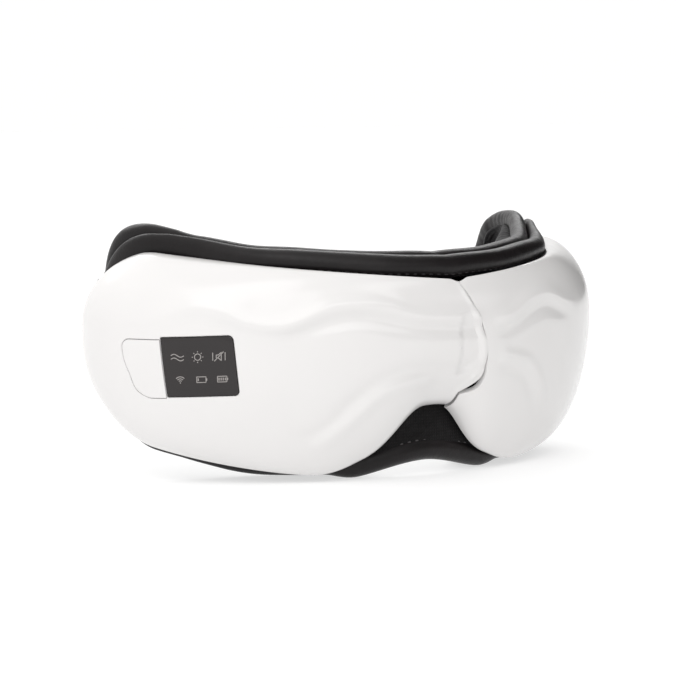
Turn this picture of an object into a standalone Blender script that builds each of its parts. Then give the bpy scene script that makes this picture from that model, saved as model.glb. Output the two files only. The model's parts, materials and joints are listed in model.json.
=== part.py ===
"""Folding eye massager mask.

Two curved housings meet at a vertical fold hinge over the nose. The wearer's
right half, at -X, carries the control panel. Front is -Y, the face side is +Y,
and the mask stands on Z = 0. Run with: blender --background --python part.py
"""

import math

import bmesh
import bpy
import numpy as np
from mathutils import Matrix, Vector

MM = 0.001
GAP = 0.3 * MM

# Plan of the housings: a quarter ellipse for each half, measured by arc length.
HALF_WIDTH = 96 * MM
PLAN_DEPTH = 77.2 * MM
FRONT_Y = -45.6 * MM
BELT_Z = 45.4 * MM
SHELL_END = 132 * MM
END_ROUND_START = 108 * MM

# Heights of the shell's edges, and how far each edge is set in from the belt.
TOP_BRIDGE_Z = 61 * MM
TOP_SLOPE = 0.078
NOTCH_TOP_Z = 21.8 * MM
LOBE_BOTTOM_Z = 2 * MM
LOBE_PLACE = 42 * MM
TEMPLE_LIFT = 12.1 * MM
TEMPLE_LIFT_LENGTH = 78 * MM
TOP_INSET = (1.2 * MM, 11.8 * MM)
BOTTOM_INSET = (12.6 * MM, 14 * MM)
WALL = 2 * MM

# Fold hinge.
HINGE_BACK = 14 * MM
FOLD_HALF_ANGLE = math.radians(43)
DRUM_CLEARANCE = 0.7 * MM
DRUM_Z = (29 * MM, 55.8 * MM)
DRUM_BACK = 2.2 * MM
ARM_THICKNESS = 1.8 * MM
WASHER_THICKNESS = 0.5 * MM
PIN_RADIUS = 1.5 * MM
PIN_BORE_RADIUS = 1.8 * MM
PIN_HEAD_RADIUS = 2.6 * MM
PIN_HEAD_HEIGHT = 0.7 * MM

# Layers behind the shell, as depths from the belt.
FRAME_DEPTH = 17 * MM
FRAME_THICKNESS = 2 * MM
CHANNEL_DEPTH = 21.5 * MM
POCKET_DEPTH = 23.8 * MM
BAG_THICKNESS = 2 * MM
FILM_THICKNESS = 0.5 * MM
PAD_THICKNESS = 2.6 * MM
NUB_RADIUS = 2.1 * MM
NUB_TIP_RADIUS = 1.1 * MM

# Control panel, by arc length and height on the right shell.
WINDOW_S = (70 * MM, 92.2 * MM)
BUTTON_S = (92.6 * MM, 105.6 * MM)
BUTTON_TAPER = 5 * MM
WINDOW_Z = (27.2 * MM, 45 * MM)
BUTTON_Z = (27.6 * MM, 44.5 * MM)
PANEL_CORNER = 2.4 * MM
PANEL_DEPTHS = (0.1 * MM, 1.7 * MM)
BOARD_DEPTH = 7.4 * MM

EYE_S = 46 * MM
EYE_Z = 38 * MM
PAD_HALF = (14.5 * MM, 12.5 * MM)
SIDES = {"right": -1, "left": 1}

bpy.context.preferences.edit.use_global_undo = False
for old in list(bpy.data.objects):
    bpy.data.objects.remove(old, do_unlink=True)
PARTS = bpy.data.collections.new("eye_massager_mask")
CUTTERS = bpy.data.collections.new("cutters")
bpy.context.scene.collection.children.link(PARTS)
bpy.context.scene.collection.children.link(CUTTERS)


# ---------------------------------------------------------------- materials

def material(name, colour, roughness, metallic=0.0):
    made = bpy.data.materials.new(name)
    made.use_nodes = True
    shader = made.node_tree.nodes["Principled BSDF"]
    shader.inputs["Base Color"].default_value = (*colour, 1)
    shader.inputs["Roughness"].default_value = roughness
    shader.inputs["Metallic"].default_value = metallic
    return made


MATERIALS = {
    "shell": material("shell", (0.86, 0.85, 0.83), 0.12),
    "frame": material("frame", (0.05, 0.05, 0.055), 0.5),
    "leather": material("leather", (0.028, 0.026, 0.027), 0.45),
    "window": material("window", (0.02, 0.02, 0.02), 0.05),
    "board": material("board", (0.02, 0.12, 0.06), 0.5),
    "steel": material("steel", (0.6, 0.6, 0.62), 0.3, 1.0),
    "rubber": material("rubber", (0.03, 0.03, 0.03), 0.8),
    "bag": material("bag", (0.55, 0.57, 0.6), 0.4),
    "film": material("film", (0.5, 0.25, 0.08), 0.4),
    "fabric": material("fabric", (0.035, 0.035, 0.04), 0.9),
    "battery": material("battery", (0.1, 0.2, 0.45), 0.35),
    "copper": material("copper", (0.7, 0.35, 0.2), 0.4, 1.0),
}


# ---------------------------------------------------------------- surface of the mask

ANGLES = np.linspace(0, math.radians(112), 1500)
ARC_X = HALF_WIDTH * np.sin(ANGLES)
ARC_Y = PLAN_DEPTH * (1 - np.cos(ANGLES))
ARC_LENGTHS = np.concatenate([[0], np.cumsum(np.hypot(np.diff(ARC_X), np.diff(ARC_Y)))])


def smooth(x):
    x = min(max(x, 0.0), 1.0)
    return x * x * (3 - 2 * x)


def angle_at(s):
    return float(np.interp(abs(s), ARC_LENGTHS, ANGLES))


def heading(s):
    """The plan's direction at arc length s, as the angle it has turned towards +Y."""
    angle = angle_at(s)
    turned = math.atan2(PLAN_DEPTH * math.sin(angle), HALF_WIDTH * math.cos(angle))
    return math.copysign(turned, s)


def plan_point(s, depth=0.0):
    """(x, y) at arc length s of the left half; a negative s is on the other side of the bridge."""
    angle = angle_at(s)
    turned = heading(s)
    x = math.copysign(HALF_WIDTH * math.sin(angle), s)
    y = PLAN_DEPTH * (1 - math.cos(angle))
    return x - depth * math.sin(turned), y + depth * math.cos(turned) + FRONT_Y


def end_scale(s, start=END_ROUND_START, end=SHELL_END, power=2.0):
    share = min(max((s - start) / (end - start), 0.0), 1.0)
    return (1 - share**power) ** (1 / power)


def top_line(s):
    return TOP_BRIDGE_Z + TOP_SLOPE * min(abs(s), END_ROUND_START)


def bottom_line(s):
    s = abs(s)
    if s < LOBE_PLACE:
        arch = (1 - smooth((s - 26 * MM) / (16 * MM))) / (1 + (s / (14.6 * MM)) ** 3)
        return LOBE_BOTTOM_Z + (NOTCH_TOP_Z - LOBE_BOTTOM_Z) * arch
    lift = min((s - LOBE_PLACE) / TEMPLE_LIFT_LENGTH, 1.0)
    return LOBE_BOTTOM_Z + TEMPLE_LIFT * lift**1.45


def edge_inset(s, edge):
    return edge[0] + (edge[1] - edge[0]) * smooth(abs(s) / (0.74 * SHELL_END))


def shell_point(s, t):
    """(z, inset) of the shell's outer face; t runs from -1, the bottom edge, to 1, the top."""
    scale = end_scale(abs(s))
    height = (top_line(s) if t > 0 else bottom_line(s)) - BELT_Z
    z = BELT_Z + abs(math.sin(t * math.pi / 2)) * height * scale
    low_share = smooth(0.5 - t)
    inset = edge_inset(s, TOP_INSET) * (1 - low_share) + edge_inset(s, BOTTOM_INSET) * low_share
    return z, inset * (1 - scale * math.cos(t * math.pi / 2))


def shell_inset(s, z):
    height = (top_line(s) if z > BELT_Z else bottom_line(s)) - BELT_Z
    share = min(abs((z - BELT_Z) / (height * max(end_scale(abs(s)), 1e-6))), 1.0)
    t = math.copysign(math.asin(share) * 2 / math.pi, z - BELT_Z)
    return shell_point(s, t)[1]


def ear_reach(z):
    """How far the right shell's ear laps past the middle at this height."""
    if z > 39 * MM:
        return 2 * MM + 11 * MM * (1 - min((z - 39 * MM) / (21 * MM), 1) ** 1.5)
    return 5 * MM + 8 * MM * (1 - min(max((35.5 * MM - z) / (9.5 * MM), 0), 1) ** 1.6)


# ---------------------------------------------------------------- modelling helpers

def keep(obj, mat):
    for collection in list(obj.users_collection):
        collection.objects.unlink(obj)
    PARTS.objects.link(obj)
    obj.data.materials.clear()
    obj.data.materials.append(MATERIALS[mat])
    return obj


def as_cutter(obj):
    for collection in list(obj.users_collection):
        collection.objects.unlink(obj)
    CUTTERS.objects.link(obj)
    obj.hide_render = True
    obj.display_type = "WIRE"
    return obj


def mesh_object(name, bm):
    mesh = bpy.data.meshes.new(name)
    bm.to_mesh(mesh)
    bm.free()
    obj = bpy.data.objects.new(name, mesh)
    bpy.context.scene.collection.objects.link(obj)
    return obj


def sheet(name, rows):
    """An open surface through rows of points."""
    bm = bmesh.new()
    made = [[bm.verts.new(point) for point in row] for row in rows]
    for low, high in zip(made, made[1:]):
        for a, b, c, d in zip(low, low[1:], high[1:], high):
            bm.faces.new((a, b, c, d))
    bmesh.ops.remove_doubles(bm, verts=bm.verts, dist=0.01 * MM)
    bmesh.ops.recalc_face_normals(bm, faces=bm.faces)
    return mesh_object(name, bm)


def loft(name, loops):
    """A closed solid through loops of as many points each."""
    bm = bmesh.new()
    made = [[bm.verts.new(point) for point in loop] for loop in loops]
    for low, high in zip(made, made[1:]):
        for i in range(len(low)):
            j = (i + 1) % len(low)
            bm.faces.new((low[i], low[j], high[j], high[i]))
    bm.faces.new(made[0][::-1])
    bm.faces.new(made[-1])
    bmesh.ops.remove_doubles(bm, verts=bm.verts, dist=0.01 * MM)
    bmesh.ops.triangulate(bm, faces=[face for face in bm.faces if len(face.verts) > 4])
    bmesh.ops.recalc_face_normals(bm, faces=bm.faces)
    return mesh_object(name, bm)


def curved_plate(name, side, columns, z_span, depth, thickness, rows=6, follow=1.0):
    """A plate that follows the shell: z_span(s) gives its lowest and highest z."""
    loops = []
    for s in columns:
        low, high = z_span(s)
        front = []
        back = []
        for i in range(rows + 1):
            z = low + (high - low) * i / rows
            inset = depth + follow * shell_inset(s, z)
            front.append(on_plan(side, s, inset, z))
            back.append(on_plan(side, s, inset + thickness, z))
        loops.append(front + back[::-1])
    return loft(name, loops)


def on_plan(side, s, depth, z):
    x, y = plan_point(s, depth)
    return Vector((side * x, y, z))


def frame_at(side, s, depth, z):
    """A matrix with X along the mask, Y towards the face and Z up."""
    turn = Matrix.Rotation(side * heading(s), 4, "Z")
    return Matrix.Translation(on_plan(side, s, depth, z)) @ turn


def box(name, size, matrix, mat=None, bevel=0.0):
    bm = bmesh.new()
    bmesh.ops.create_cube(bm, size=1, matrix=matrix @ Matrix.Diagonal((*size, 1)))
    obj = mesh_object(name, bm)
    if bevel:
        rounded = obj.modifiers.new("Rounded edges", "BEVEL")
        rounded.width = bevel
        rounded.segments = 2
    return keep(obj, mat) if mat else obj


def cylinder(name, radius, depth, matrix, mat=None, segments=20, top_radius=None):
    """A cylinder about the matrix's own Z, centred on it."""
    bm = bmesh.new()
    bmesh.ops.create_cone(
        bm,
        cap_ends=True,
        segments=segments,
        radius1=radius,
        radius2=radius if top_radius is None else top_radius,
        depth=depth,
        matrix=matrix,
    )
    obj = mesh_object(name, bm)
    return keep(obj, mat) if mat else obj


def boolean(obj, other, operation="DIFFERENCE"):
    """Applies one Boolean and removes the other solid."""
    modifier = obj.modifiers.new(operation.title(), "BOOLEAN")
    modifier.operation = operation
    modifier.object = other
    bpy.context.view_layer.update()
    graph = bpy.context.evaluated_depsgraph_get()
    mesh = bpy.data.meshes.new_from_object(obj.evaluated_get(graph))
    obj.modifiers.clear()
    obj.data = mesh
    bpy.data.objects.remove(other, do_unlink=True)
    return obj


def tube(name, points, radius, mat, resolution=2):
    curve = bpy.data.curves.new(name, "CURVE")
    curve.dimensions = "3D"
    curve.bevel_depth = radius
    curve.bevel_resolution = resolution
    curve.use_fill_caps = True
    spline = curve.splines.new("POLY")
    spline.points.add(len(points) - 1)
    for point, place in zip(spline.points, points):
        point.co = (*place, 1)
    obj = bpy.data.objects.new(name, curve)
    bpy.context.scene.collection.objects.link(obj)
    return keep(obj, mat)


FACE_IN = Matrix.Rotation(-math.pi / 2, 4, "X")  # turns a cylinder's Z towards the face


# ---------------------------------------------------------------- front shells

def spaced(start, end, count, ease_end=True):
    """Arc lengths from start to end, closer together towards the rounded temple end."""
    out = []
    for i in range(count + 1):
        u = i / count
        out.append(start + (end - start) * (math.sin(u * math.pi / 2) ** 0.9 if ease_end else u))
    return out


def shell_sheet(name, side, seam, columns=22, rows=12):
    grid = []
    for i in range(rows + 1):
        t = -1 + 2 * i / rows
        start = seam(shell_point(0, t)[0])
        row = []
        for s in spaced(start, SHELL_END, columns):
            z, inset = shell_point(s, t)
            row.append(on_plan(side, s, inset, z))
        grid.append(row)
    obj = sheet(name, grid)
    solid = obj.modifiers.new("Wall", "SOLIDIFY")
    solid.thickness = WALL
    solid.offset = -1
    middle = obj.data.polygons[len(obj.data.polygons) // 2]
    if middle.normal.y > 0:
        obj.data.flip_normals()
    return obj


BOSSES = ((30 * MM, 54 * MM), (62 * MM, 12 * MM), (100 * MM, 58 * MM))
BOSS_RADIUS = 2.8 * MM
SCREW_RADIUS = 1.0 * MM
PILOT_RADIUS = 1.3 * MM
SCREW_HEAD_RADIUS = 2.0 * MM
SCREW_HEAD_HEIGHT = 1.2 * MM


def add_bosses(shell, side):
    for s, z in BOSSES:
        start = shell_inset(s, z) + 1.2 * MM
        end = FRAME_DEPTH - GAP
        matrix = frame_at(side, s, (start + end) / 2, z) @ FACE_IN
        boss = cylinder("boss", BOSS_RADIUS, end - start, matrix, segments=16)
        boolean(shell, boss, "UNION")
        pilot_matrix = frame_at(side, s, end - 3.4 * MM, z) @ FACE_IN
        pilot = cylinder("pilot", PILOT_RADIUS, 8 * MM, pilot_matrix, segments=12)
        boolean(shell, pilot)


def add_hinge_fixings(right, left):
    """The block that takes the bracket's screws, and the blind holes for the leaf's screws."""
    block_back = BRACKET_Y - 2 * MM - GAP
    block_front = plan_point(BRACKET_X)[1] + 1.4 * MM
    middle = Vector((BRACKET_X, (block_front + block_back) / 2, sum(BRACKET_SCREW_Z) / 2))
    size = (7 * MM, block_back - block_front, 20 * MM)
    boolean(right, box("block", size, Matrix.Translation(middle)), "UNION")
    for z in BRACKET_SCREW_Z:
        place = Matrix.Translation((BRACKET_X, block_back, z)) @ FACE_IN
        boolean(right, cylinder("pilot", PILOT_RADIUS, 7.4 * MM, place, segments=12))
    for s, z in LEAF_SCREWS:
        boolean(left, cylinder("pilot", PILOT_RADIUS, 8.6 * MM, leaf_seat(s, z), segments=12))


def panel_outline(span, z_span, grow, taper=0.0, rows=8):
    """Rows of (z, first s, last s) of a panel on the shell, whose far end leans in by taper."""
    outline = []
    low = z_span[0] - grow
    high = z_span[1] + grow
    for i in range(rows + 1):
        share = i / rows
        corner = PANEL_CORNER * (1 - end_scale(share, 1 - PANEL_CORNER / (high - low), 1.0))
        far = span[1] + grow - taper * (1 - share) - (corner if taper else 0)
        outline.append((low + (high - low) * share, span[0] - grow, far))
    return outline


def panel_solid(name, outline, depths, columns=6):
    """A solid on the right shell between two depths below its outer face."""
    loops = []
    for z, first, last in outline:
        places = [first + (last - first) * i / columns for i in range(columns + 1)]
        front = [on_plan(-1, s, shell_inset(s, z) + depths[0], z) for s in places]
        back = [on_plan(-1, s, shell_inset(s, z) + depths[1], z) for s in places]
        loops.append(front + back[::-1])
    return loft(name, loops)


def make_shells():
    right = shell_sheet("right_front_shell", -1, lambda z: -ear_reach(z))
    left = shell_sheet("left_front_shell", 1, lambda z: ear_reach(z) + 0.4 * MM)
    through = (-3 * MM, 5 * MM)
    boolean(right, panel_solid("window_cut", panel_outline(WINDOW_S, WINDOW_Z, GAP), through))
    button_outline = panel_outline(BUTTON_S, BUTTON_Z, GAP, BUTTON_TAPER)
    boolean(right, panel_solid("button_cut", button_outline, through))
    add_bosses(right, -1)
    add_bosses(left, 1)
    add_hinge_fixings(right, left)
    keep(right, "shell")
    keep(left, "shell")


def make_panel():
    keep(panel_solid("display_window", panel_outline(WINDOW_S, WINDOW_Z, 0), PANEL_DEPTHS), "window")
    outline = panel_outline(BUTTON_S, BUTTON_Z, 0, BUTTON_TAPER)
    keep(panel_solid("power_button", outline, PANEL_DEPTHS), "shell")
    board_s = (WINDOW_S[0] + BUTTON_S[1]) / 2
    board_place = frame_at(-1, board_s, BOARD_DEPTH, sum(WINDOW_Z) / 2)
    box("touch_board", (36 * MM, 1.2 * MM, 15 * MM), board_place, "board")
    button_across = board_s - sum(BUTTON_S) / 2
    switch_place = board_place @ Matrix.Translation((button_across, -2.1 * MM, 0))
    box("power_switch", (4 * MM, 2.4 * MM, 4 * MM), switch_place, "steel")


# ---------------------------------------------------------------- back frames and screws

FRAME_START = 11 * MM
FRAME_END = 118 * MM
FRAME_MARGIN = 3.5 * MM


def frame_span(s):
    """The frame's lowest and highest z, a margin inside the shell's edges."""
    scale = end_scale(s)
    low = BELT_Z - (BELT_Z - bottom_line(s) - FRAME_MARGIN) * scale
    high = BELT_Z + (top_line(s) - BELT_Z - FRAME_MARGIN) * scale
    return low, high


def make_frame(half, side):
    columns = spaced(FRAME_START, FRAME_END, 16, ease_end=False)
    frame = curved_plate(
        f"{half}_back_frame", side, columns, frame_span, FRAME_DEPTH, FRAME_THICKNESS, follow=0
    )
    for i, (s, z) in enumerate(BOSSES, 1):
        hole_place = frame_at(side, s, FRAME_DEPTH + FRAME_THICKNESS / 2, z) @ FACE_IN
        hole = cylinder("hole", PILOT_RADIUS, 4 * FRAME_THICKNESS, hole_place, segments=12)
        boolean(frame, hole)
        seat = frame_at(side, s, FRAME_DEPTH + FRAME_THICKNESS + GAP, z) @ FACE_IN
        pan_head_screw(f"{half}_frame_screw_{i}", seat, 7 * MM)
    keep(frame, "frame")


def pan_head_screw(name, seat, length):
    """A screw whose head rests at the seat's origin, with its shank down the seat's -Z."""
    shank_place = seat @ Matrix.Translation((0, 0, 0.2 * MM - length / 2))
    shank = cylinder(name, SCREW_RADIUS, length + 0.4 * MM, shank_place, segments=10)
    head_place = seat @ Matrix.Translation((0, 0, SCREW_HEAD_HEIGHT / 2))
    head = cylinder("head", SCREW_HEAD_RADIUS, SCREW_HEAD_HEIGHT, head_place, segments=14)
    keep(boolean(shank, head, "UNION"), "steel")


# ---------------------------------------------------------------- fold hinge

HINGE_Y = FRONT_Y + HINGE_BACK
BRACKET_X = -18 * MM
BRACKET_Y = HINGE_Y - 4.4 * MM
BRACKET_SCREW_Z = (37 * MM, 49 * MM)
LEAF_SCREWS = ((20 * MM, 37 * MM), (20 * MM, 49 * MM))
LEAF_DEPTH = WALL + 1 * MM
LEAF_THICKNESS = 2 * MM


def leaf_seat(s, z):
    """Where a screw head rests on the back of the drum's leaf."""
    depth = shell_inset(s, z) + LEAF_DEPTH + LEAF_THICKNESS + GAP
    return frame_at(1, s, depth, z) @ FACE_IN


def make_hinge():
    low, high = DRUM_Z
    profile = [(0.0, high)]
    steps = 9
    for i in range(steps + 1):
        z = high + (low - high) * i / steps
        profile.append((HINGE_BACK - shell_inset(0, z) - WALL - DRUM_CLEARANCE, z))
    profile.append((0.0, low))
    bm = bmesh.new()
    corners = [bm.verts.new((x, 0, z)) for x, z in profile]
    for a, b in zip(corners, corners[1:]):
        bm.edges.new((a, b))
    drum = mesh_object("left_hinge_drum", bm)
    turned = drum.modifiers.new("Turned", "SCREW")
    turned.steps = turned.render_steps = 40
    turned.use_merge_vertices = True
    turned.merge_threshold = 0.00005
    bpy.context.view_layer.update()
    graph = bpy.context.evaluated_depsgraph_get()
    mesh = bpy.data.meshes.new_from_object(drum.evaluated_get(graph))
    drum.modifiers.clear()
    drum.data = mesh
    drum.data.transform(Matrix.Translation((0, HINGE_Y, 0)))

    leaf_z = (low + 0.8 * MM, high - 0.8 * MM)
    columns = [s * MM for s in (1, 6, 12, 18, 23, 27)]
    leaf = curved_plate("leaf", 1, columns, lambda s: leaf_z, LEAF_DEPTH, LEAF_THICKNESS, rows=8)
    boolean(drum, leaf, "UNION")
    back_place = Matrix.Translation((0, HINGE_Y + DRUM_BACK + 15 * MM, BELT_Z))
    boolean(drum, box("back_cut", (60 * MM, 30 * MM, 60 * MM), back_place))
    middle_z = (low + high) / 2
    axis = Matrix.Translation((0, HINGE_Y, middle_z))
    boolean(drum, cylinder("bore", PIN_BORE_RADIUS, 60 * MM, axis, segments=24))
    for i, (s, z) in enumerate(LEAF_SCREWS, 1):
        seat = leaf_seat(s, z)
        boolean(drum, cylinder("hole", PILOT_RADIUS, 7 * MM, seat, segments=12))
        pan_head_screw(f"left_hinge_screw_{i}", seat, 3.6 * MM)
    keep(drum, "frame")

    arm_gap = WASHER_THICKNESS + 2 * GAP
    upper = high + arm_gap + ARM_THICKNESS / 2
    lower = low - arm_gap - ARM_THICKNESS / 2
    web_place = Matrix.Translation((BRACKET_X, BRACKET_Y, (upper + lower) / 2))
    bracket = box("right_hinge_bracket", (6 * MM, 4 * MM, upper - lower + ARM_THICKNESS), web_place)
    for z in (upper, lower):
        arm_place = Matrix.Translation((-8.6 * MM, HINGE_Y, z))
        boolean(bracket, box("arm", (25 * MM, 6.2 * MM, ARM_THICKNESS), arm_place), "UNION")
    boolean(bracket, cylinder("bore", PIN_BORE_RADIUS, 80 * MM, axis, segments=24))
    for i, z in enumerate(BRACKET_SCREW_Z, 1):
        place = Matrix.Translation((BRACKET_X, BRACKET_Y, z)) @ FACE_IN
        boolean(bracket, cylinder("hole", PILOT_RADIUS, 8 * MM, place, segments=12))
        seat = place @ Matrix.Translation((0, 0, 2 * MM + GAP))
        pan_head_screw(f"right_hinge_screw_{i}", seat, 7 * MM)
    keep(bracket, "steel")

    for name, z in (("upper_hinge_washer", high), ("lower_hinge_washer", low)):
        centre = z + math.copysign(GAP + WASHER_THICKNESS / 2, z - middle_z)
        place = Matrix.Translation((0, HINGE_Y, centre))
        ring = cylinder(name, 3.4 * MM, WASHER_THICKNESS, place, segments=24)
        boolean(ring, cylinder("bore", PIN_BORE_RADIUS, 5 * MM, place, segments=24))
        keep(ring, "steel")

    pin_top = upper + ARM_THICKNESS / 2
    pin_bottom = lower - ARM_THICKNESS / 2
    length = pin_top - pin_bottom + 2 * GAP
    shank_place = Matrix.Translation((0, HINGE_Y, (pin_top + pin_bottom) / 2 + GAP))
    shank = cylinder("hinge_pin", PIN_RADIUS, length, shank_place, segments=24)
    head_place = Matrix.Translation((0, HINGE_Y, pin_top + GAP + PIN_HEAD_HEIGHT / 2))
    head = cylinder("head", PIN_HEAD_RADIUS, PIN_HEAD_HEIGHT, head_place)
    keep(boolean(shank, head, "UNION"), "steel")


# ---------------------------------------------------------------- face cushions

ROLL_RISE = 5.6 * MM
BRIDGE_STATION = 8 * MM
FIRST_STATIONS = (22, 29, 36, 43, 52, 62, 72, 82, 91, 99, 106)
TEMPLE_STATIONS = (112, 118, 123.5, 128, 131.5, 134, 135, 137.5, 140.5, 143.5, 146.5, 149)


def face_depth(s):
    """The depth of the cushion's face side at arc length s."""
    return (27 + 7 * smooth((s / MM - 14) / 24) - 13 * smooth((s / MM - 84) / 66)) * MM


def cushion_bottom(s):
    """The cushion's lowest z: a little lift under the nose, and the shell's own lift at the temple."""
    s = s / MM
    if s < 34:
        return 4.3 * MM * (1 - smooth(s / 34))
    return (bottom_line(s * MM) - LOBE_BOTTOM_Z) * smooth((s - 46) / 36)


def nose_cut(s):
    """The z of the face side's lower edge, which arches over the nose."""
    return cushion_bottom(s) + 23 * MM * (1 - smooth(s / (36 * MM)))


def cushion_section(s):
    """(depth, z) corners round one section, from the front roll over the top to the bottom."""
    top = top_line(s)
    bottom = bottom_line(s)
    low = cushion_bottom(s)
    face = face_depth(s)
    back_top = (69.5 + 7 * min(s / (135 * MM), 1.05) ** 2) * MM
    top_in = edge_inset(s, TOP_INSET)
    bottom_in = edge_inset(s, BOTTOM_INSET)
    channel = CHANNEL_DEPTH
    front = [
        (top_in + 1.0 * MM, top + 0.7 * MM),
        (top_in + 1.0 * MM, top + ROLL_RISE - 1.8 * MM),
        (top_in + 2.8 * MM, top + ROLL_RISE),
        (top_in + 6.5 * MM, top + ROLL_RISE),
    ]
    back = [
        (face - 4.5 * MM, back_top),
        (face - 1.2 * MM, back_top - 1.6 * MM),
        (face, back_top - 6 * MM),
        (face, nose_cut(s) + 6 * MM),
        (face - 1.5 * MM, nose_cut(s) + 1.4 * MM),
        (face - 5 * MM, nose_cut(s)),
    ]
    under = [
        (bottom_in + 6.2 * MM, nose_cut(s)),
        (bottom_in + 5.4 * MM, (nose_cut(s) + low) / 2),
        (bottom_in + 4.6 * MM, low),
        (bottom_in + 2.2 * MM, low),
        (bottom_in + 1.0 * MM, low + 0.8 * MM),
    ]
    inner = [
        (bottom_in + 1.0 * MM, max(bottom - 0.6 * MM, low + 1.0 * MM)),
        (channel, bottom + 2.4 * MM),
        (channel, top - 1.2 * MM),
    ]
    return front, back, under, inner


def cushion_loop(side, s, first):
    """One loop of the cushion's skin; first is True at the bridge, where it starts on the fold plane."""
    front, back, under, inner = cushion_section(s)
    front_scale = end_scale(s, END_ROUND_START, 139 * MM)
    inner_scale = end_scale(s, END_ROUND_START, 134.5 * MM)
    back_scale = end_scale(s, 128 * MM, 151.5 * MM, 2.2)
    front_scale = max(front_scale, 0.93 * back_scale * smooth((s - 132 * MM) / (9 * MM)))
    late = smooth((s - 136 * MM) / (15 * MM))
    lip = edge_inset(s, BOTTOM_INSET) + 1.0 * MM
    inner = [(lip + (depth - lip) * inner_scale, z) for depth, z in inner]
    groups = ((front, front_scale), (back, back_scale), (under, front_scale), (inner, inner_scale))
    points = []
    for group, scale in groups:
        for depth, z in group:
            depth += (20 * MM - depth) * late * 0.75
            place = fold_start(depth) if first else s
            points.append(on_plan(side, place, depth, BELT_Z + (z - BELT_Z) * scale))
    return points


def fold_start(depth):
    """The arc length at which this depth clears the plane that the halves fold to."""
    start = 0.0
    x, y = plan_point(start, depth)
    while x < max(y - HINGE_Y, 0) * math.tan(FOLD_HALF_ANGLE) + 2 * GAP:
        start += 0.1 * MM
        x, y = plan_point(start, depth)
    return start


def make_cushion(half, side):
    loops = [cushion_loop(side, BRIDGE_STATION, True)]
    loops += [cushion_loop(side, s * MM, False) for s in FIRST_STATIONS + TEMPLE_STATIONS]
    cushion = loft(f"{half}_cushion", loops)
    matrix = frame_at(side, EYE_S, POCKET_DEPTH + 10 * MM, EYE_Z) @ FACE_IN
    scale = Matrix.Diagonal((PAD_HALF[0] + 0.8 * MM, PAD_HALF[1] + 0.8 * MM, 1, 1))
    pocket = cylinder("pocket", 1.0, 20 * MM, matrix @ scale, segments=32)
    boolean(cushion, pocket)
    keep(cushion, "leather")


def oval(name, side, depth, thickness, shrink, mat):
    matrix = frame_at(side, EYE_S, depth + thickness / 2, EYE_Z) @ FACE_IN
    scale = Matrix.Diagonal((PAD_HALF[0] - shrink, PAD_HALF[1] - shrink, 1, 1))
    return cylinder(name, 1.0, thickness, matrix @ scale, mat, segments=32)


def make_pad(half, side):
    depth = POCKET_DEPTH + GAP
    oval(f"{half}_air_bag", side, depth, BAG_THICKNESS, 1.2 * MM, "bag")
    depth += BAG_THICKNESS + GAP
    oval(f"{half}_heating_film", side, depth, FILM_THICKNESS, 0.5 * MM, "film")
    depth += FILM_THICKNESS + GAP
    pad = oval(f"{half}_massage_pad", side, depth, PAD_THICKNESS, 0, None)
    back = depth + PAD_THICKNESS
    places = [(0, 0)] + [
        (9 * MM * math.cos(k * math.pi / 3), 7.6 * MM * math.sin(k * math.pi / 3)) for k in range(6)
    ]
    middle = frame_at(side, EYE_S, back + 0.4 * MM, EYE_Z)
    for across, up in places:
        place = middle @ Matrix.Translation((across, 0, up)) @ FACE_IN
        nub = cylinder("nub", NUB_RADIUS, 2 * MM, place, segments=14, top_radius=NUB_TIP_RADIUS)
        boolean(pad, nub, "UNION")
    keep(pad, "fabric")


# ---------------------------------------------------------------- things inside the housings

def make_inside():
    board = frame_at(-1, 47 * MM, 13.4 * MM, 36 * MM)
    box("main_board", (34 * MM, 1.6 * MM, 26 * MM), board, "board")
    for i, (across, up) in enumerate(((-12 * MM, 9 * MM), (12 * MM, -9 * MM)), 1):
        place = board @ Matrix.Translation((across, -0.8 * MM - GAP - 0.6 * MM, up)) @ FACE_IN
        cylinder(f"board_screw_{i}", 1.8 * MM, 1.2 * MM, place, "steel", 14)
    battery_place = frame_at(1, 52 * MM, 10.6 * MM, 35 * MM)
    box("battery", (36 * MM, 6.5 * MM, 22 * MM), battery_place, "battery", 1 * MM)
    pump_place = frame_at(1, 88 * MM, 10 * MM, 36 * MM) @ Matrix.Rotation(math.pi / 2, 4, "Y")
    cylinder("air_pump", 5.4 * MM, 26 * MM, pump_place, "steel", 24)
    valve_place = frame_at(1, 82 * MM, 12 * MM, 50 * MM)
    box("air_valve", (10 * MM, 7 * MM, 8 * MM), valve_place, "frame", 0.6 * MM)
    for half, side in SIDES.items():
        speaker = frame_at(side, 112 * MM, 13.6 * MM, 41 * MM) @ FACE_IN
        cylinder(f"{half}_speaker", 6.5 * MM, 3.4 * MM, speaker, "frame", 24)
        motor = frame_at(side, 70 * MM, 14.6 * MM, 22 * MM) @ FACE_IN
        cylinder(f"{half}_vibration_motor", 4 * MM, 2.8 * MM, motor, "steel", 24)


def socket_place():
    return frame_at(-1, 92 * MM, 10.9 * MM, 15.2 * MM)


def make_socket(shell):
    """A charging socket whose mouth opens through the underside of the right shell."""
    place = socket_place()
    hole = Matrix.Translation((0, 0, -3 * MM))
    boolean(shell, box("socket_hole", (9.8 * MM, 4.1 * MM, 18 * MM), place @ hole))
    socket = box("charging_socket", (9.2 * MM, 3.5 * MM, 8 * MM), place)
    mouth_place = place @ Matrix.Translation((0, 0, -2.4 * MM))
    boolean(socket, box("mouth", (8 * MM, 2.3 * MM, 6 * MM), mouth_place))
    tongue_place = place @ Matrix.Translation((0, 0, 0.4 * MM))
    boolean(socket, box("tongue", (6.4 * MM, 0.7 * MM, 5 * MM), tongue_place), "UNION")
    keep(socket, "steel")


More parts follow.
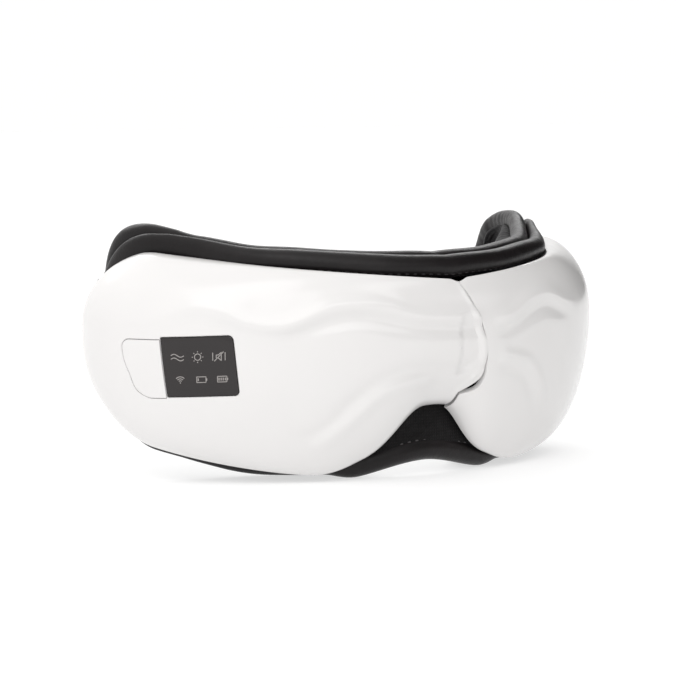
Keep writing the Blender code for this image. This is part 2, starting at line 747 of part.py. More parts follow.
WIRE_RADIUS = 1.1 * MM
HOSE_RADIUS = 1.6 * MM
CROSSING_Y = HINGE_Y + 5.2 * MM
CROSSING_HALF = 9 * MM
CROSSING_BOW = 0.9 * MM


def crossing(name, z, radius, mat):
    """A flexible run over the fold, behind the hinge; it bends as the halves fold."""
    points = []
    for x in np.linspace(-CROSSING_HALF, CROSSING_HALF, 9):
        bow = CROSSING_BOW * math.cos(x / CROSSING_HALF * math.pi / 2)
        points.append((x, CROSSING_Y + bow, z))
    tube(name, points, radius, mat)


def run_along(name, side, stations, radius, mat):
    """A wire or hose through (arc length, depth, z) stations on one half."""
    points = [on_plan(side, s * MM, depth * MM, z * MM) for s, depth, z in stations]
    tube(name, points, radius, mat)


RIGHT_WIRE_RUN = ((62.5, 15.2, 52), (54, 15.3, 53), (44, 15.3, 53), (36, 15.4, 51.5))
LEFT_WIRE_RUN = ((13, 15.4, 36), (18, 15.4, 36), (24, 15.2, 36), (29, 15.2, 36))
RIGHT_HOSE_RUN = ((14, 14.9, 46), (17, 14.9, 46.6), (20.5, 15.0, 48), (24, 15.0, 50))
LEFT_HOSE_RUN = ((15, 15.1, 46), (20, 15.1, 50), (23.5, 15.1, 54), (23.5, 15.1, 57.5))


def make_looms():
    crossing("bridge_cable", 36 * MM, WIRE_RADIUS, "rubber")
    crossing("bridge_air_hose", 46 * MM, HOSE_RADIUS, "bag")
    run_along("right_wire_loom", -1, RIGHT_WIRE_RUN, WIRE_RADIUS, "rubber")
    run_along("left_wire_loom", 1, LEFT_WIRE_RUN, WIRE_RADIUS, "rubber")
    run_along("right_air_hose", -1, RIGHT_HOSE_RUN, HOSE_RADIUS, "bag")
    run_along("left_air_hose", 1, LEFT_HOSE_RUN, HOSE_RADIUS, "bag")


# ---------------------------------------------------------------- strap loops

LOOP_S = (131 * MM, 158 * MM)
LOOP_HALF_HEIGHT = 15 * MM
LOOP_Z = 44 * MM
LOOP_CORNER = 5 * MM
LOOP_THICKNESS = 1.6 * MM
LOOP_STANDOFF = 0.5 * MM
SLOT_S = 153 * MM
SLOT = (6 * MM, 22 * MM)


def loop_depth(s):
    return face_depth(s) + LOOP_STANDOFF


def make_strap_loop(half, side):
    """A curved tab on the inner face of the temple end, with a slot for a head strap behind it."""
    loops = []
    for s in spaced(*LOOP_S, 14):
        round_off = end_scale(s, LOOP_S[1] - LOOP_CORNER, LOOP_S[1] + 0.4 * MM)
        height = LOOP_HALF_HEIGHT - LOOP_CORNER * (1 - round_off)
        heights = [LOOP_Z + k * height for k in (-1, -0.33, 0.33, 1)]
        front = [on_plan(side, s, loop_depth(s), z) for z in heights]
        back = [on_plan(side, s, loop_depth(s) + LOOP_THICKNESS, z) for z in heights]
        loops.append(front + back[::-1])
    tab = loft(f"{half}_strap_loop", loops)
    place = frame_at(side, SLOT_S, loop_depth(SLOT_S), LOOP_Z)
    boolean(tab, box("slot", (SLOT[0], 12 * MM, SLOT[1]), place))
    keep(tab, "frame")


for make in (make_shells, make_panel, make_hinge, make_inside, make_looms):
    make()
make_socket(bpy.data.objects["right_front_shell"])
for half_name, half_side in SIDES.items():
    make_frame(half_name, half_side)
    make_cushion(half_name, half_side)
    make_pad(half_name, half_side)
    make_strap_loop(half_name, half_side)

bpy.context.view_layer.update()
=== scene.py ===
"""Looks of the folding eye massager mask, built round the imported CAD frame.

The camera and the lights are in metres. Lengths on the mask are in millimetres until a mesh is made,
and a place on it is (s, depth, z): s is the arc length along the housings' plan from the fold, positive
on the left half (+X), depth is measured inwards from the plan's outer line, and z is the height.
"""

import json
import math

import bmesh
import bpy
import numpy as np
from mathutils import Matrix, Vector


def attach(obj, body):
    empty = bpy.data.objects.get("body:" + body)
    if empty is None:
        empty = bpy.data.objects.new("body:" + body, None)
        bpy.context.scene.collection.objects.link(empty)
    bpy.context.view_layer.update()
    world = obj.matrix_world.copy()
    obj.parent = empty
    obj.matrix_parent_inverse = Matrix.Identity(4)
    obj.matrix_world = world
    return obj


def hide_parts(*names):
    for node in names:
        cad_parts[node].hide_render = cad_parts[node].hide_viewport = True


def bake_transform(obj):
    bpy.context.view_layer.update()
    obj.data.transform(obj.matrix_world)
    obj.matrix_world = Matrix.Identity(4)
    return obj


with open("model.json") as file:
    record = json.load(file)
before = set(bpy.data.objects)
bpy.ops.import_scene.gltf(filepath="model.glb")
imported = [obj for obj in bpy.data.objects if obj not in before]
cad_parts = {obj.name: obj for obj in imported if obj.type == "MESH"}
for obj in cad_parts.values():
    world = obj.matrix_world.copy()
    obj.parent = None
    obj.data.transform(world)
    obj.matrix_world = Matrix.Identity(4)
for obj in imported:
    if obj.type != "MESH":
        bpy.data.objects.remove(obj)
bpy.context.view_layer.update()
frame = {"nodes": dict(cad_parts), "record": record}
NODES = frame["nodes"]
METRES = 0.001
SIDES = {"right": -1, "left": 1}
UP = np.array([0.0, 0.0, 1.0])
RNG = np.random.default_rng(7)

# ------------------------------------------------------------ camera, light and floor

VIEW_AZIMUTH = math.radians(-35)
VIEW_ELEVATION = math.radians(5.34)
VIEW_TARGET = Vector((-0.0551, -0.0629, 0.0470))
VIEW_DISTANCE = 0.85
VIEW_LENS = 157.2


def aim(obj, stand, target):
    obj.location = stand
    obj.rotation_euler = (Vector(target) - Vector(stand)).to_track_quat("-Z", "Y").to_euler()


def make_camera():
    camera = bpy.data.objects.new("camera", bpy.data.cameras.new("camera"))
    bpy.context.scene.collection.objects.link(camera)
    camera.data.lens = VIEW_LENS
    camera.data.sensor_width = 36
    camera.data.clip_start = 0.01
    back = Vector((
        math.sin(VIEW_AZIMUTH) * math.cos(VIEW_ELEVATION),
        -math.cos(VIEW_AZIMUTH) * math.cos(VIEW_ELEVATION),
        math.sin(VIEW_ELEVATION),
    ))
    aim(camera, VIEW_TARGET + VIEW_DISTANCE * back, VIEW_TARGET)
    bpy.context.scene.camera = camera


def area_light(name, stand, target, size, power):
    light = bpy.data.lights.new(name, "AREA")
    light.shape = "RECTANGLE"
    light.size, light.size_y = size
    light.energy = power
    obj = bpy.data.objects.new(name, light)
    bpy.context.scene.collection.objects.link(obj)
    aim(obj, stand, target)


# The world is even but for a dark side, which the gloss reflects, and a brighter sky overhead.
DARK_SIDE = (0.94, -0.34, 0.08)
DARK_FROM_TO = (0.385, 0.62)
DARK_STRENGTH = (1.01, 0.0)
SKY_FROM_TO = (0.35, 0.95)
SKY_STRENGTH = (1.0, 1.3)
WORLD_COLOUR = (1, 0.995, 0.99, 1)
FLOOR_SIZE = 8

# Each light: name, place, target, size and power.
AREA_LIGHTS = (
    ("key", (-0.7, -0.75, 0.95), (-0.02, 0, 0.05), (0.9, 0.7), 3.3),
    ("front_strip", (-0.15, -1.4, 0.62), (0, 0, 0.05), (1.7, 0.35), 3.0),
    ("rim", (0.25, 0.95, 0.85), (0, 0, 0.06), (1.8, 0.2), 7.0),
)


def map_range(tree, value, source, target, interpolation="LINEAR"):
    """A value taken from source's range to target's."""
    node = tree.nodes.new("ShaderNodeMapRange")
    node.interpolation_type = interpolation
    for name, limit in zip(("From Min", "From Max", "To Min", "To Max"), (*source, *target)):
        node.inputs[name].default_value = limit
    tree.links.new(value, node.inputs["Value"])
    return node.outputs["Result"]


def make_world():
    world = bpy.data.worlds.new("studio")
    bpy.context.scene.world = world
    world.use_nodes = True
    tree = world.node_tree
    background = tree.nodes["Background"]
    background.inputs["Color"].default_value = WORLD_COLOUR
    direction = tree.nodes.new("ShaderNodeTexCoord").outputs["Generated"]
    toward = tree.nodes.new("ShaderNodeVectorMath")
    toward.operation = "DOT_PRODUCT"
    toward.inputs[1].default_value = DARK_SIDE
    tree.links.new(direction, toward.inputs[0])
    axes = tree.nodes.new("ShaderNodeSeparateXYZ")
    tree.links.new(direction, axes.inputs["Vector"])
    strength = tree.nodes.new("ShaderNodeMath")
    strength.operation = "MULTIPLY"
    shade = map_range(tree, toward.outputs["Value"], DARK_FROM_TO, DARK_STRENGTH, "SMOOTHSTEP")
    sky = map_range(tree, axes.outputs["Z"], SKY_FROM_TO, SKY_STRENGTH, "SMOOTHSTEP")
    tree.links.new(shade, strength.inputs[0])
    tree.links.new(sky, strength.inputs[1])
    tree.links.new(strength.outputs["Value"], background.inputs["Strength"])


def make_studio():
    make_world()
    for light in AREA_LIGHTS:
        area_light(*light)
    bpy.ops.mesh.primitive_plane_add(size=FLOOR_SIZE, location=(0, 0, 0))
    floor = bpy.context.object
    floor.name = "floor"
    floor.data.materials.append(MATERIALS["floor"])
    bpy.context.scene.view_settings.view_transform = "Standard"


# ------------------------------------------------------------ materials

NOISE_RANGE = (0.3, 0.7)
WAVE_DISTORTION = 0.6
BANDS_PER_SCALE = 6.0


class Nodes:
    """A small helper that adds and links nodes in one material."""

    def __init__(self, name):
        self.material = bpy.data.materials.new(name)
        self.material.use_nodes = True
        self.tree = self.material.node_tree
        self.shader = self.tree.nodes["Principled BSDF"]
        coordinates = self.tree.nodes.new("ShaderNodeTexCoord")
        self.place = coordinates.outputs["Object"]

    def link(self, out, socket):
        self.tree.links.new(out, socket)

    def mapped(self, scale):
        mapping = self.tree.nodes.new("ShaderNodeMapping")
        mapping.inputs["Scale"].default_value = scale
        self.link(self.place, mapping.inputs["Vector"])
        return mapping.outputs["Vector"]

    def noise(self, scale, detail=2.0, rough=0.5, vector=None):
        node = self.tree.nodes.new("ShaderNodeTexNoise")
        node.inputs["Scale"].default_value = scale
        node.inputs["Detail"].default_value = detail
        node.inputs["Roughness"].default_value = rough
        self.link(vector or self.place, node.inputs["Vector"])
        return node.outputs["Fac"]

    def cell_edges(self, scale):
        node = self.tree.nodes.new("ShaderNodeTexVoronoi")
        node.feature = "DISTANCE_TO_EDGE"
        node.inputs["Scale"].default_value = scale
        self.link(self.place, node.inputs["Vector"])
        return node.outputs["Distance"]

    def wave(self, pitch, direction):
        """Rows every pitch metres along one axis."""
        node = self.tree.nodes.new("ShaderNodeTexWave")
        node.bands_direction = direction
        node.inputs["Scale"].default_value = 1 / pitch / BANDS_PER_SCALE
        node.inputs["Distortion"].default_value = WAVE_DISTORTION
        self.link(self.place, node.inputs["Vector"])
        return node.outputs["Fac"]

    def math(self, operation, a, b):
        node = self.tree.nodes.new("ShaderNodeMath")
        node.operation = operation
        for socket, value in zip(node.inputs, (a, b)):
            if isinstance(value, (int, float)):
                socket.default_value = value
            else:
                self.link(value, socket)
        return node.outputs["Value"]

    def roughness(self, value, limits):
        """Feeds a noise value, taken to the two limits, into the shader's roughness."""
        self.link(map_range(self.tree, value, NOISE_RANGE, limits), self.shader.inputs["Roughness"])

    def colours(self, value, stops):
        """Feeds a value, through (position, colour) stops, into the shader's colour."""
        ramp = self.tree.nodes.new("ShaderNodeValToRGB")
        elements = ramp.color_ramp.elements
        while len(elements) < len(stops):
            elements.new(0.5)
        for element, (at, colour) in zip(elements, stops):
            element.position = at
            element.color = (*colour, 1)
        self.link(value, ramp.inputs["Fac"])
        self.link(ramp.outputs["Color"], self.shader.inputs["Base Color"])

    def bump(self, height, distance, strength):
        node = self.tree.nodes.new("ShaderNodeBump")
        node.inputs["Strength"].default_value = strength
        node.inputs["Distance"].default_value = distance
        self.link(height, node.inputs["Height"])
        self.link(node.outputs["Normal"], self.shader.inputs["Normal"])

    def set(self, **values):
        for name, value in values.items():
            self.shader.inputs[name.replace("_", " ")].default_value = value
        return self.material


def tone(colour, share):
    return tuple(c * share for c in colour)


def gloss_plastic(name, colour, rough=(0.16, 0.22)):
    n = Nodes(name)
    cloud = n.noise(35, 3)
    n.colours(cloud, [(0.35, tone(colour, 0.985)), (0.65, colour)])
    n.roughness(n.noise(220, 4), rough)
    n.bump(n.noise(160, 2), 0.00002, 0.35)
    return n.set(Coat_Weight=0.25, Coat_Roughness=0.12, IOR=1.46)


def leather(name, colour):
    n = Nodes(name)
    mottled = n.noise(90, 5, 0.6)
    n.colours(mottled, [(0.32, tone(colour, 0.82)), (0.5, colour), (0.7, tone(colour, 1.3))])
    n.roughness(n.noise(420, 4), (0.30, 0.42))
    pebbles = n.math("MINIMUM", n.cell_edges(1500), 0.22)
    creased = n.math("ADD", n.math("MULTIPLY", pebbles, 1.3), n.noise(700, 3))
    n.bump(n.math("ADD", creased, n.math("MULTIPLY", n.noise(120, 3), 1.6)), 0.00012, 0.55)
    return n.set(Specular_IOR_Level=0.25, IOR=1.45)


def knit(name, colour, pitch=0.0007):
    n = Nodes(name)
    n.colours(n.noise(160, 5, 0.7), [(0.3, tone(colour, 0.75)), (0.7, tone(colour, 1.25))])
    loops = n.math("MULTIPLY", n.wave(pitch, "Z"), n.wave(pitch, "X"))
    n.roughness(n.noise(600, 2), (0.75, 0.92))
    n.bump(n.math("ADD", loops, n.noise(900, 2)), 0.0002, 0.6)
    return n.set(Sheen_Weight=0.08, Sheen_Roughness=0.5, Specular_IOR_Level=0.2)


def matte_plastic(name, colour, rough=(0.42, 0.58)):
    n = Nodes(name)
    n.colours(n.noise(60, 3), [(0.3, tone(colour, 0.9)), (0.7, tone(colour, 1.08))])
    n.roughness(n.noise(300, 3), rough)
    n.bump(n.noise(2600, 2), 0.00004, 0.5)
    return n.set(IOR=1.46)


def smoked_window(name):
    n = Nodes(name)
    n.colours(n.noise(18, 2), [(0.3, (0.015, 0.012, 0.012)), (0.7, (0.019, 0.016, 0.016))])
    n.roughness(n.noise(260, 3), (0.10, 0.16))
    n.bump(n.noise(90, 2), 0.00001, 0.3)
    return n.set(Specular_IOR_Level=0.45, IOR=1.5)


def metal(name, colour):
    n = Nodes(name)
    brushed = n.noise(90, 4, 0.6, n.mapped((1.0, 1.0, 14.0)))
    n.colours(brushed, [(0.3, tone(colour, 0.85)), (0.7, tone(colour, 1.08))])
    n.roughness(brushed, (0.22, 0.4))
    n.bump(brushed, 0.00003, 0.4)
    return n.set(Metallic=1.0)


def rubber(name, colour):
    n = Nodes(name)
    n.colours(n.noise(240, 4), [(0.3, tone(colour, 0.85)), (0.7, tone(colour, 1.15))])
    n.roughness(n.noise(500, 3), (0.55, 0.75))
    n.bump(n.noise(1400, 2), 0.00004, 0.5)
    return n.set(IOR=1.5)


def printed(name, colour, rough=(0.35, 0.5)):
    n = Nodes(name)
    n.colours(n.noise(900, 3), [(0.3, tone(colour, 0.9)), (0.7, colour)])
    n.roughness(n.noise(700, 3), rough)
    return n.material


def floor_paint(name):
    n = Nodes(name)
    n.colours(n.noise(3, 3), [(0.3, (0.40, 0.40, 0.40)), (0.7, (0.42, 0.42, 0.42))])
    n.roughness(n.noise(8, 3), (0.75, 0.85))
    return n.set(Emission_Color=(1, 1, 1, 1), Emission_Strength=0.62, Specular_IOR_Level=0.1)


WHITE = (0.731, 0.719, 0.713)
BLACK_LEATHER = (0.0100, 0.0085, 0.0088)
MATERIALS = {
    "floor": floor_paint("floor_paint"),
    "shell": gloss_plastic("gloss_white_shell", WHITE),
    "button": gloss_plastic("gloss_white_button", tone(WHITE, 0.995), (0.14, 0.22)),
    "button_mark": printed("button_mark", (0.70, 0.69, 0.68), (0.2, 0.3)),
    "leather": leather("black_leather", BLACK_LEATHER),
    "flap": knit("flap_cloth", (0.0035, 0.0030, 0.0032), 0.0005),
    "lining": knit("lining_knit", (0.014, 0.013, 0.014)),
    "pad": knit("pad_knit", (0.036, 0.034, 0.038), 0.0006),
    "thread": rubber("thread", (0.016, 0.014, 0.015)),
    "pale_thread": rubber("pale_thread", (0.06, 0.055, 0.057)),
    "window": smoked_window("smoked_window"),
    "icons": printed("icon_print", (0.31, 0.29, 0.28)),
    "inner": matte_plastic("inner_plastic", (0.045, 0.045, 0.05)),
    "steel": metal("plated_steel", (0.62, 0.62, 0.64)),
    "board": matte_plastic("circuit_board", (0.02, 0.13, 0.06), (0.3, 0.45)),
    "cable": rubber("cable_jacket", (0.03, 0.03, 0.032)),
    "hose": rubber("soft_hose", (0.5, 0.52, 0.55)),
    "film": matte_plastic("heating_film", (0.5, 0.25, 0.08), (0.25, 0.4)),
    "battery": matte_plastic("battery_wrap", (0.08, 0.18, 0.45), (0.25, 0.38)),
}
SLOT_MATERIALS = {
    "shell_plastic": "shell", "inner_plastic": "inner", "leather": "leather",
    "window_plastic": "window", "circuit_board": "board", "steel": "steel",
    "cable_rubber": "cable", "soft_hose": "hose", "heating_film": "film",
    "pad_fabric": "pad", "battery_wrap": "battery",
}


def dress_cad_nodes():
    """Gives the CAD's own solids, which stay inside the mask, the same materials."""
    for part in frame["record"]["subparts"]:
        chosen = MATERIALS[SLOT_MATERIALS[part["material_slot"]]]
        for slot in NODES[part["node"]].material_slots:
            slot.material = chosen


# ------------------------------------------------------------ the mask's surface, close to the CAD's

HALF_WIDTH = 97.4  # the plan is a half ellipse of this half-width and depth, with its front at FRONT_Y
PLAN_DEPTH = 77.2
FRONT_Y = -45.6
BELT_Z = 45.4  # the height where the housings stand out furthest
SHELL_END = 133.5  # the arc length at the housings' ends, which round off from END_ROUND_START
END_ROUND_START = 101.0
INSET_END = 97.7
TOP_INSET = (1.2, 11.8)  # how far the top and bottom edges lie inwards, at the fold and at INSET_END
BOTTOM_INSET = (12.6, 14.0)
WALL = 2.0
EYE_S = 46.0
EYE_Z = 38.0
PAD_HALF = (14.5, 12.5)
PLAN_SWEEP = math.radians(112)

ANGLES = np.linspace(0, PLAN_SWEEP, 4000)
ARC_STEPS = np.hypot(
    np.diff(HALF_WIDTH * np.sin(ANGLES)), np.diff(PLAN_DEPTH * (1 - np.cos(ANGLES)))
)
ARC_LENGTHS = np.concatenate([[0], np.cumsum(ARC_STEPS)])


def smooth(x):
    """Rises from 0 to 1 as x does, level at both ends."""
    x = np.clip(x, 0, 1)
    return x * x * (3 - 2 * x)


def heading(s):
    """The plan's direction at s, signed like s."""
    a = np.interp(np.abs(s), ARC_LENGTHS, ANGLES)
    turned = np.arctan2(PLAN_DEPTH * np.sin(a), HALF_WIDTH * np.cos(a))
    return np.where(s < 0, -turned, turned)


def place(s, depth, z):
    """Points in millimetres for places on the mask."""
    s, depth, z = np.broadcast_arrays(
        np.asarray(s, float), np.asarray(depth, float), np.asarray(z, float)
    )
    a = np.interp(np.abs(s), ARC_LENGTHS, ANGLES)
    turned = np.arctan2(PLAN_DEPTH * np.sin(a), HALF_WIDTH * np.cos(a))
    x = np.where(s < 0, -1.0, 1.0) * (HALF_WIDTH * np.sin(a) - depth * np.sin(turned))
    y = PLAN_DEPTH * (1 - np.cos(a)) + depth * np.cos(turned) + FRONT_Y
    return np.stack([x, y, z], -1)


def inward(s):
    """The horizontal direction from the front to the face at s."""
    turned = heading(s)
    return np.stack([-np.sin(turned), np.cos(turned), np.zeros_like(turned)], -1)


def end_scale(s, start=END_ROUND_START, end=SHELL_END, power=2.0):
    """The share of the height left as an end rounds off, from 1 at start to 0 at end."""
    share = np.clip((np.abs(s) - start) / (end - start), 0, 1)
    return (1 - share**power) ** (1 / power)


def top_line(s):
    """The housings' upper edge, which climbs to the temples."""
    return 61 + 0.078 * np.minimum(np.abs(s), 108)


def rim_inset(s):
    """The shell's top rim, which follows the cushion closely round the temples."""
    s = np.abs(s)
    return top_inset(s) + 2.6 * smooth((s - 50) / 35) * (1 - smooth((s - 112) / 20))


def bottom_line(s, wide=False):
    """The housings' lower edge; the right one, with the ear, leaves a wider notch."""
    s = np.abs(s)
    start, reach, arch, power = (28, 18, 18.2, 3.2) if wide else (26, 16, 14.6, 3.0)
    notch = 2 + 19.8 * (1 - smooth((s - start) / reach)) / (1 + (s / arch) ** power)
    return np.where(s < 44, notch, 2 + 12.1 * np.clip((s - 42) / 78, 0, 1) ** 1.45)


def edge_inset(s, edge):
    return edge[0] + (edge[1] - edge[0]) * smooth(np.abs(s) / INSET_END)


def top_inset(s):
    return edge_inset(s, TOP_INSET) + 2.0 * smooth((np.abs(s) - 58) / 32)


def shell_point(s, t, wide=False):
    """(z, inset) of the housings' plain outer face; t is -1 at the bottom edge and 1 at the top."""
    scale = end_scale(s)
    height = np.where(t > 0, top_line(s), bottom_line(s, wide)) - BELT_Z
    z = BELT_Z + np.abs(np.sin(t * np.pi / 2)) * height * scale
    low_share = smooth(0.5 - t)
    inset = rim_inset(s) * (1 - low_share) + edge_inset(s, BOTTOM_INSET) * low_share
    return z, inset * (1 - scale * np.cos(t * np.pi / 2))


def shell_inset(s, z):
    """How far inwards the plain outer face lies at (s, z)."""
    height = np.where(z > BELT_Z, top_line(s), bottom_line(s)) - BELT_Z
    share = np.minimum(np.abs((z - BELT_Z) / (height * np.maximum(end_scale(s), 1e-6))), 1)
    t = np.copysign(np.arcsin(share) * 2 / np.pi, z - BELT_Z)
    return shell_point(s, t)[1]


def ear_reach(z):
    upper = 2 + 11 * (1 - np.clip((z - 39) / 21, 0, 1) ** 1.5)
    lower = 5 + 8 * (1 - np.clip((35.5 - z) / 9.5, 0, 1) ** 1.6)
    return np.where(z > 39, upper, lower)


def face_depth(s):
    """The depth of the side that meets the face."""
    s = np.abs(s)
    return 27 + 7 * smooth((s - 14) / 24) - 13 * smooth((s - 84) / 66)


def cushion_bottom(s):
    s = np.abs(s)
    by_nose = 4.3 * (1 - smooth(s / 34))
    return np.where(s < 34, by_nose, (bottom_line(s) - 2) * smooth((s - 46) / 36))


def nose_cut(s):
    """The cushion's lower edge at the face, arched over the nose."""
    return cushion_bottom(s) + 23 * (1 - smooth(np.abs(s) / 36))


# ------------------------------------------------------------ mesh helpers

MERGE_DISTANCE = 0.000002


def piece(name, points, faces, mat, shade=True):
    """A mesh object from points in millimetres."""
    mesh = bpy.data.meshes.new(name)
    mesh.from_pydata((np.asarray(points).reshape(-1, 3) * METRES).tolist(), [], faces)
    mesh.materials.append(MATERIALS[mat])
    obj = bpy.data.objects.new(name, mesh)
    bpy.context.scene.collection.objects.link(obj)
    clean(obj)
    if shade:
        mesh.shade_smooth()
    return obj


def clean(obj):
    """Merges points that meet and turns the faces outwards."""
    bm = bmesh.new()
    bm.from_mesh(obj.data)
    bmesh.ops.remove_doubles(bm, verts=bm.verts, dist=MERGE_DISTANCE)
    bmesh.ops.recalc_face_normals(bm, faces=bm.faces)
    bm.to_mesh(obj.data)
    bm.free()


def grid_faces(rows, columns, closed_rows=False, closed_columns=False, first=0):
    """Four-sided faces over a grid of points, counted from first."""
    faces = []
    for i in range(rows if closed_rows else rows - 1):
        for j in range(columns if closed_columns else columns - 1):
            a = first + i * columns + j
            b = first + i * columns + (j + 1) % columns
            c = first + ((i + 1) % rows) * columns + (j + 1) % columns
            d = first + ((i + 1) % rows) * columns + j
            faces.append((a, b, c, d))
    return faces


def settle(obj):
    """Applies the object's modifiers to its mesh."""
    bpy.context.view_layer.update()
    graph = bpy.context.evaluated_depsgraph_get()
    mesh = bpy.data.meshes.new_from_object(obj.evaluated_get(graph))
    obj.modifiers.clear()
    obj.data = mesh
    return obj


def thicken(obj, thickness, offset=0):
    wall = obj.modifiers.new("Wall", "SOLIDIFY")
    wall.thickness = thickness * METRES
    wall.offset = offset


def cut(obj, cutter):
    modifier = obj.modifiers.new("Cut", "BOOLEAN")
    modifier.operation = "DIFFERENCE"
    modifier.object = cutter
    settle(obj)
    bpy.data.objects.remove(cutter, do_unlink=True)


def sharpen(obj, degrees):
    obj.data.shade_smooth()
    obj.data.set_sharp_from_angle(angle=math.radians(degrees))


def through(points, at):
    """A smooth line through (s, z) points, read at the given s."""
    points = np.array(sorted(points))
    x, y = points.T
    slope = np.gradient(y, x)
    i = np.clip(np.searchsorted(x, at) - 1, 0, len(x) - 2)
    step = x[i + 1] - x[i]
    u = np.clip((at - x[i]) / step, 0, 1)
    a = (1 + 2 * u) * (1 - u) ** 2 * y[i] + u * (1 - u) ** 2 * step * slope[i]
    return a + u * u * (3 - 2 * u) * y[i + 1] + u * u * (u - 1) * step * slope[i + 1]


def joined(name, objects):
    bpy.ops.object.select_all(action="DESELECT")
    for obj in objects:
        obj.select_set(True)
    bpy.context.view_layer.objects.active = objects[0]
    bpy.ops.object.join()
    objects[0].name = name
    objects[0].data.name = name
    return objects[0]


# ------------------------------------------------------------ embossed waves and the ear

DIMPLE_DEPTH = 0.6
EAR_RIM_HEIGHT = 0.3
SLOPE_STEP = 0.5

# Each wave: (s, z) points, height in mm (negative is a groove), half-width in mm, fade at its ends.
RIGHT_WAVES = (
    (((120, 45.5), (109, 48), (93, 51), (83, 54.2), (75, 52.7), (67.5, 48.9), (57, 47.9), (50, 50.2),
      (42, 53.8), (33.5, 54.6), (24, 53.6), (15, 51), (0, 49.5)), 0.95, 2.6, (72, 8)),
    (((112, 44), (100, 45), (93, 46.6), (84, 50), (77, 49), (66, 46.8), (54.6, 45.6), (45, 48.2),
      (33.5, 50), (19.5, 47.9), (10, 46.6), (0, 46)), -0.7, 2.3, (64, 8)),
    (((54.7, 14.6), (47.4, 15.3), (40, 19.9), (33.5, 26), (26.4, 30.5), (17.7, 33.4), (0, 33.4)),
     -0.55, 2.3, (10, 8)),
    (((48.3, 11.2), (40, 15.1), (32.5, 21.1), (26.4, 26.6), (17.7, 29.8), (4, 30.5)), 0.55, 2.4, (8, 6)),
)
LEFT_WAVES = (
    (((14, 48.2), (23.3, 49.4), (32.9, 53.8), (42, 54.9), (54, 52), (66, 50)), 0.7, 2.8, (8, 22)),
    (((14, 43.6), (26.4, 46.2), (34.7, 49.1), (41, 50.5), (54, 48), (66, 46)), -0.5, 2.5, (8, 22)),
    (((16.7, 36), (24.9, 35.4), (33.2, 32.9), (38.4, 28.4), (44.6, 21.3), (48, 15.9)), 0.6, 2.4, (6, 8)),
    (((16.7, 33), (24.9, 32), (31.5, 29), (36.7, 24), (41.5, 19)), -0.55, 2.3, (6, 8)),
)


def emboss(side, s, z):
    """How far the outer face stands out at (s, z) for the waves of one half; s counts from the fold."""
    raised = np.zeros(np.broadcast(s, z).shape)
    for points, height, width, (fade_low, fade_high) in RIGHT_WAVES if side < 0 else LEFT_WAVES:
        low, high = min(points)[0], max(points)[0]
        if side < 0:
            fade_low, fade_high = fade_high, fade_low
        middle = through(points, np.clip(s, low, high))
        slope = (through(points, np.clip(s + SLOPE_STEP, low, high)) - middle) / SLOPE_STEP
        across = (z - middle) / np.sqrt(1 + slope**2) / width
        inside = smooth((s - low) / fade_low) if low > 1 else 1.0
        raised = raised + height * np.exp(-across**2) * inside * smooth((high - s) / fade_high)
    return raised


def ear_dimple(s, z):
    """The shallow D-shaped face on the right housing's ear."""
    lap = -s
    inner = smooth((lap - 2.2) / 0.9) * smooth((ear_reach(z) - 1.9 - lap) / 0.8)
    lower = smooth((z - (30.8 + 0.55 * np.maximum(lap - 2.4, 0))) / 1.0)
    upper = smooth((50.4 + 0.4 * (lap - 2.4) - z) / 1.6)
    return inner * lower * upper


def ear_rim(s, z):
    """The bead along the ear's free edge."""
    return np.exp(-((ear_reach(z) + s - 0.9) / 0.75) ** 2) * smooth((np.abs(z - 42) - 21) / -3)


def relief(side, s, z, end_share=1.0):
    """How far the outer face stands out at (s, z), with the ear's own shapes on the right half."""
    raised = emboss(side, np.maximum(s, 0), z) * end_share
    if side < 0:
        raised = raised - DIMPLE_DEPTH * ear_dimple(s, z) + EAR_RIM_HEIGHT * ear_rim(s, z)
    return raised


def right_face(s, z):
    """How far inwards the right housing's finished face lies at (s, z)."""
    return shell_inset(s, z) - relief(-1, s, z)


# ------------------------------------------------------------ housings and control panel

SHELL_ROWS, SHELL_COLUMNS = 104, 190
SEAM_GAP = 0.18  # between the halves' edges, wider by NOTCH_GAP near the nose
NOTCH_GAP = 0.5
CORNER_DROP = 0.06  # the V where the halves' top edges meet
RIM_ROUNDING = 0.35


def make_shell(half, side):
    t = np.linspace(-1, 1, SHELL_ROWS)[:, None]
    z0 = shell_point(0.0, t)[0]
    gap = SEAM_GAP + NOTCH_GAP * smooth((34 - z0) / 4)
    start = -ear_reach(z0) if side < 0 else ear_reach(z0) + gap
    u = np.linspace(0, 1, SHELL_COLUMNS)[None, :]
    share = 0.55 * u + 0.45 * np.sin(u * np.pi / 2)
    s = start + (SHELL_END - start) * share
    z, inset = shell_point(s, t, side < 0)
    z = BELT_Z + (z - BELT_Z) * (1 - CORNER_DROP * (1 - smooth((s - start) / 3.5)) * smooth(t))
    raised = relief(side, s, z, end_scale(s, 100, 131))
    edge = smooth((1 - np.abs(t)) / 0.10)
    points = place(side * s, inset - raised * edge, z)
    faces = grid_faces(SHELL_ROWS, SHELL_COLUMNS)
    shell = piece(f"{half}_housing", points, faces, "shell")
    middle = shell.data.polygons[len(shell.data.polygons) // 2]
    if middle.normal.y > 0:
        shell.data.flip_normals()
    thicken(shell, WALL, offset=-1)
    rounded = shell.modifiers.new("Rounded rim", "BEVEL")
    rounded.width = RIM_ROUNDING * METRES
    rounded.segments = 2
    rounded.angle_limit = math.radians(60)
    settle(shell)
    if side < 0:
        for cutter in panel_cutters():
            cut(shell, cutter)
    sharpen(shell, 32)
    even = shell.modifiers.new("Even shading", "WEIGHTED_NORMAL")
    even.keep_sharp = True
    even.weight = 80
    settle(shell)
    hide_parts(f"{half}_front_shell")
    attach(shell, f"{half}_half")


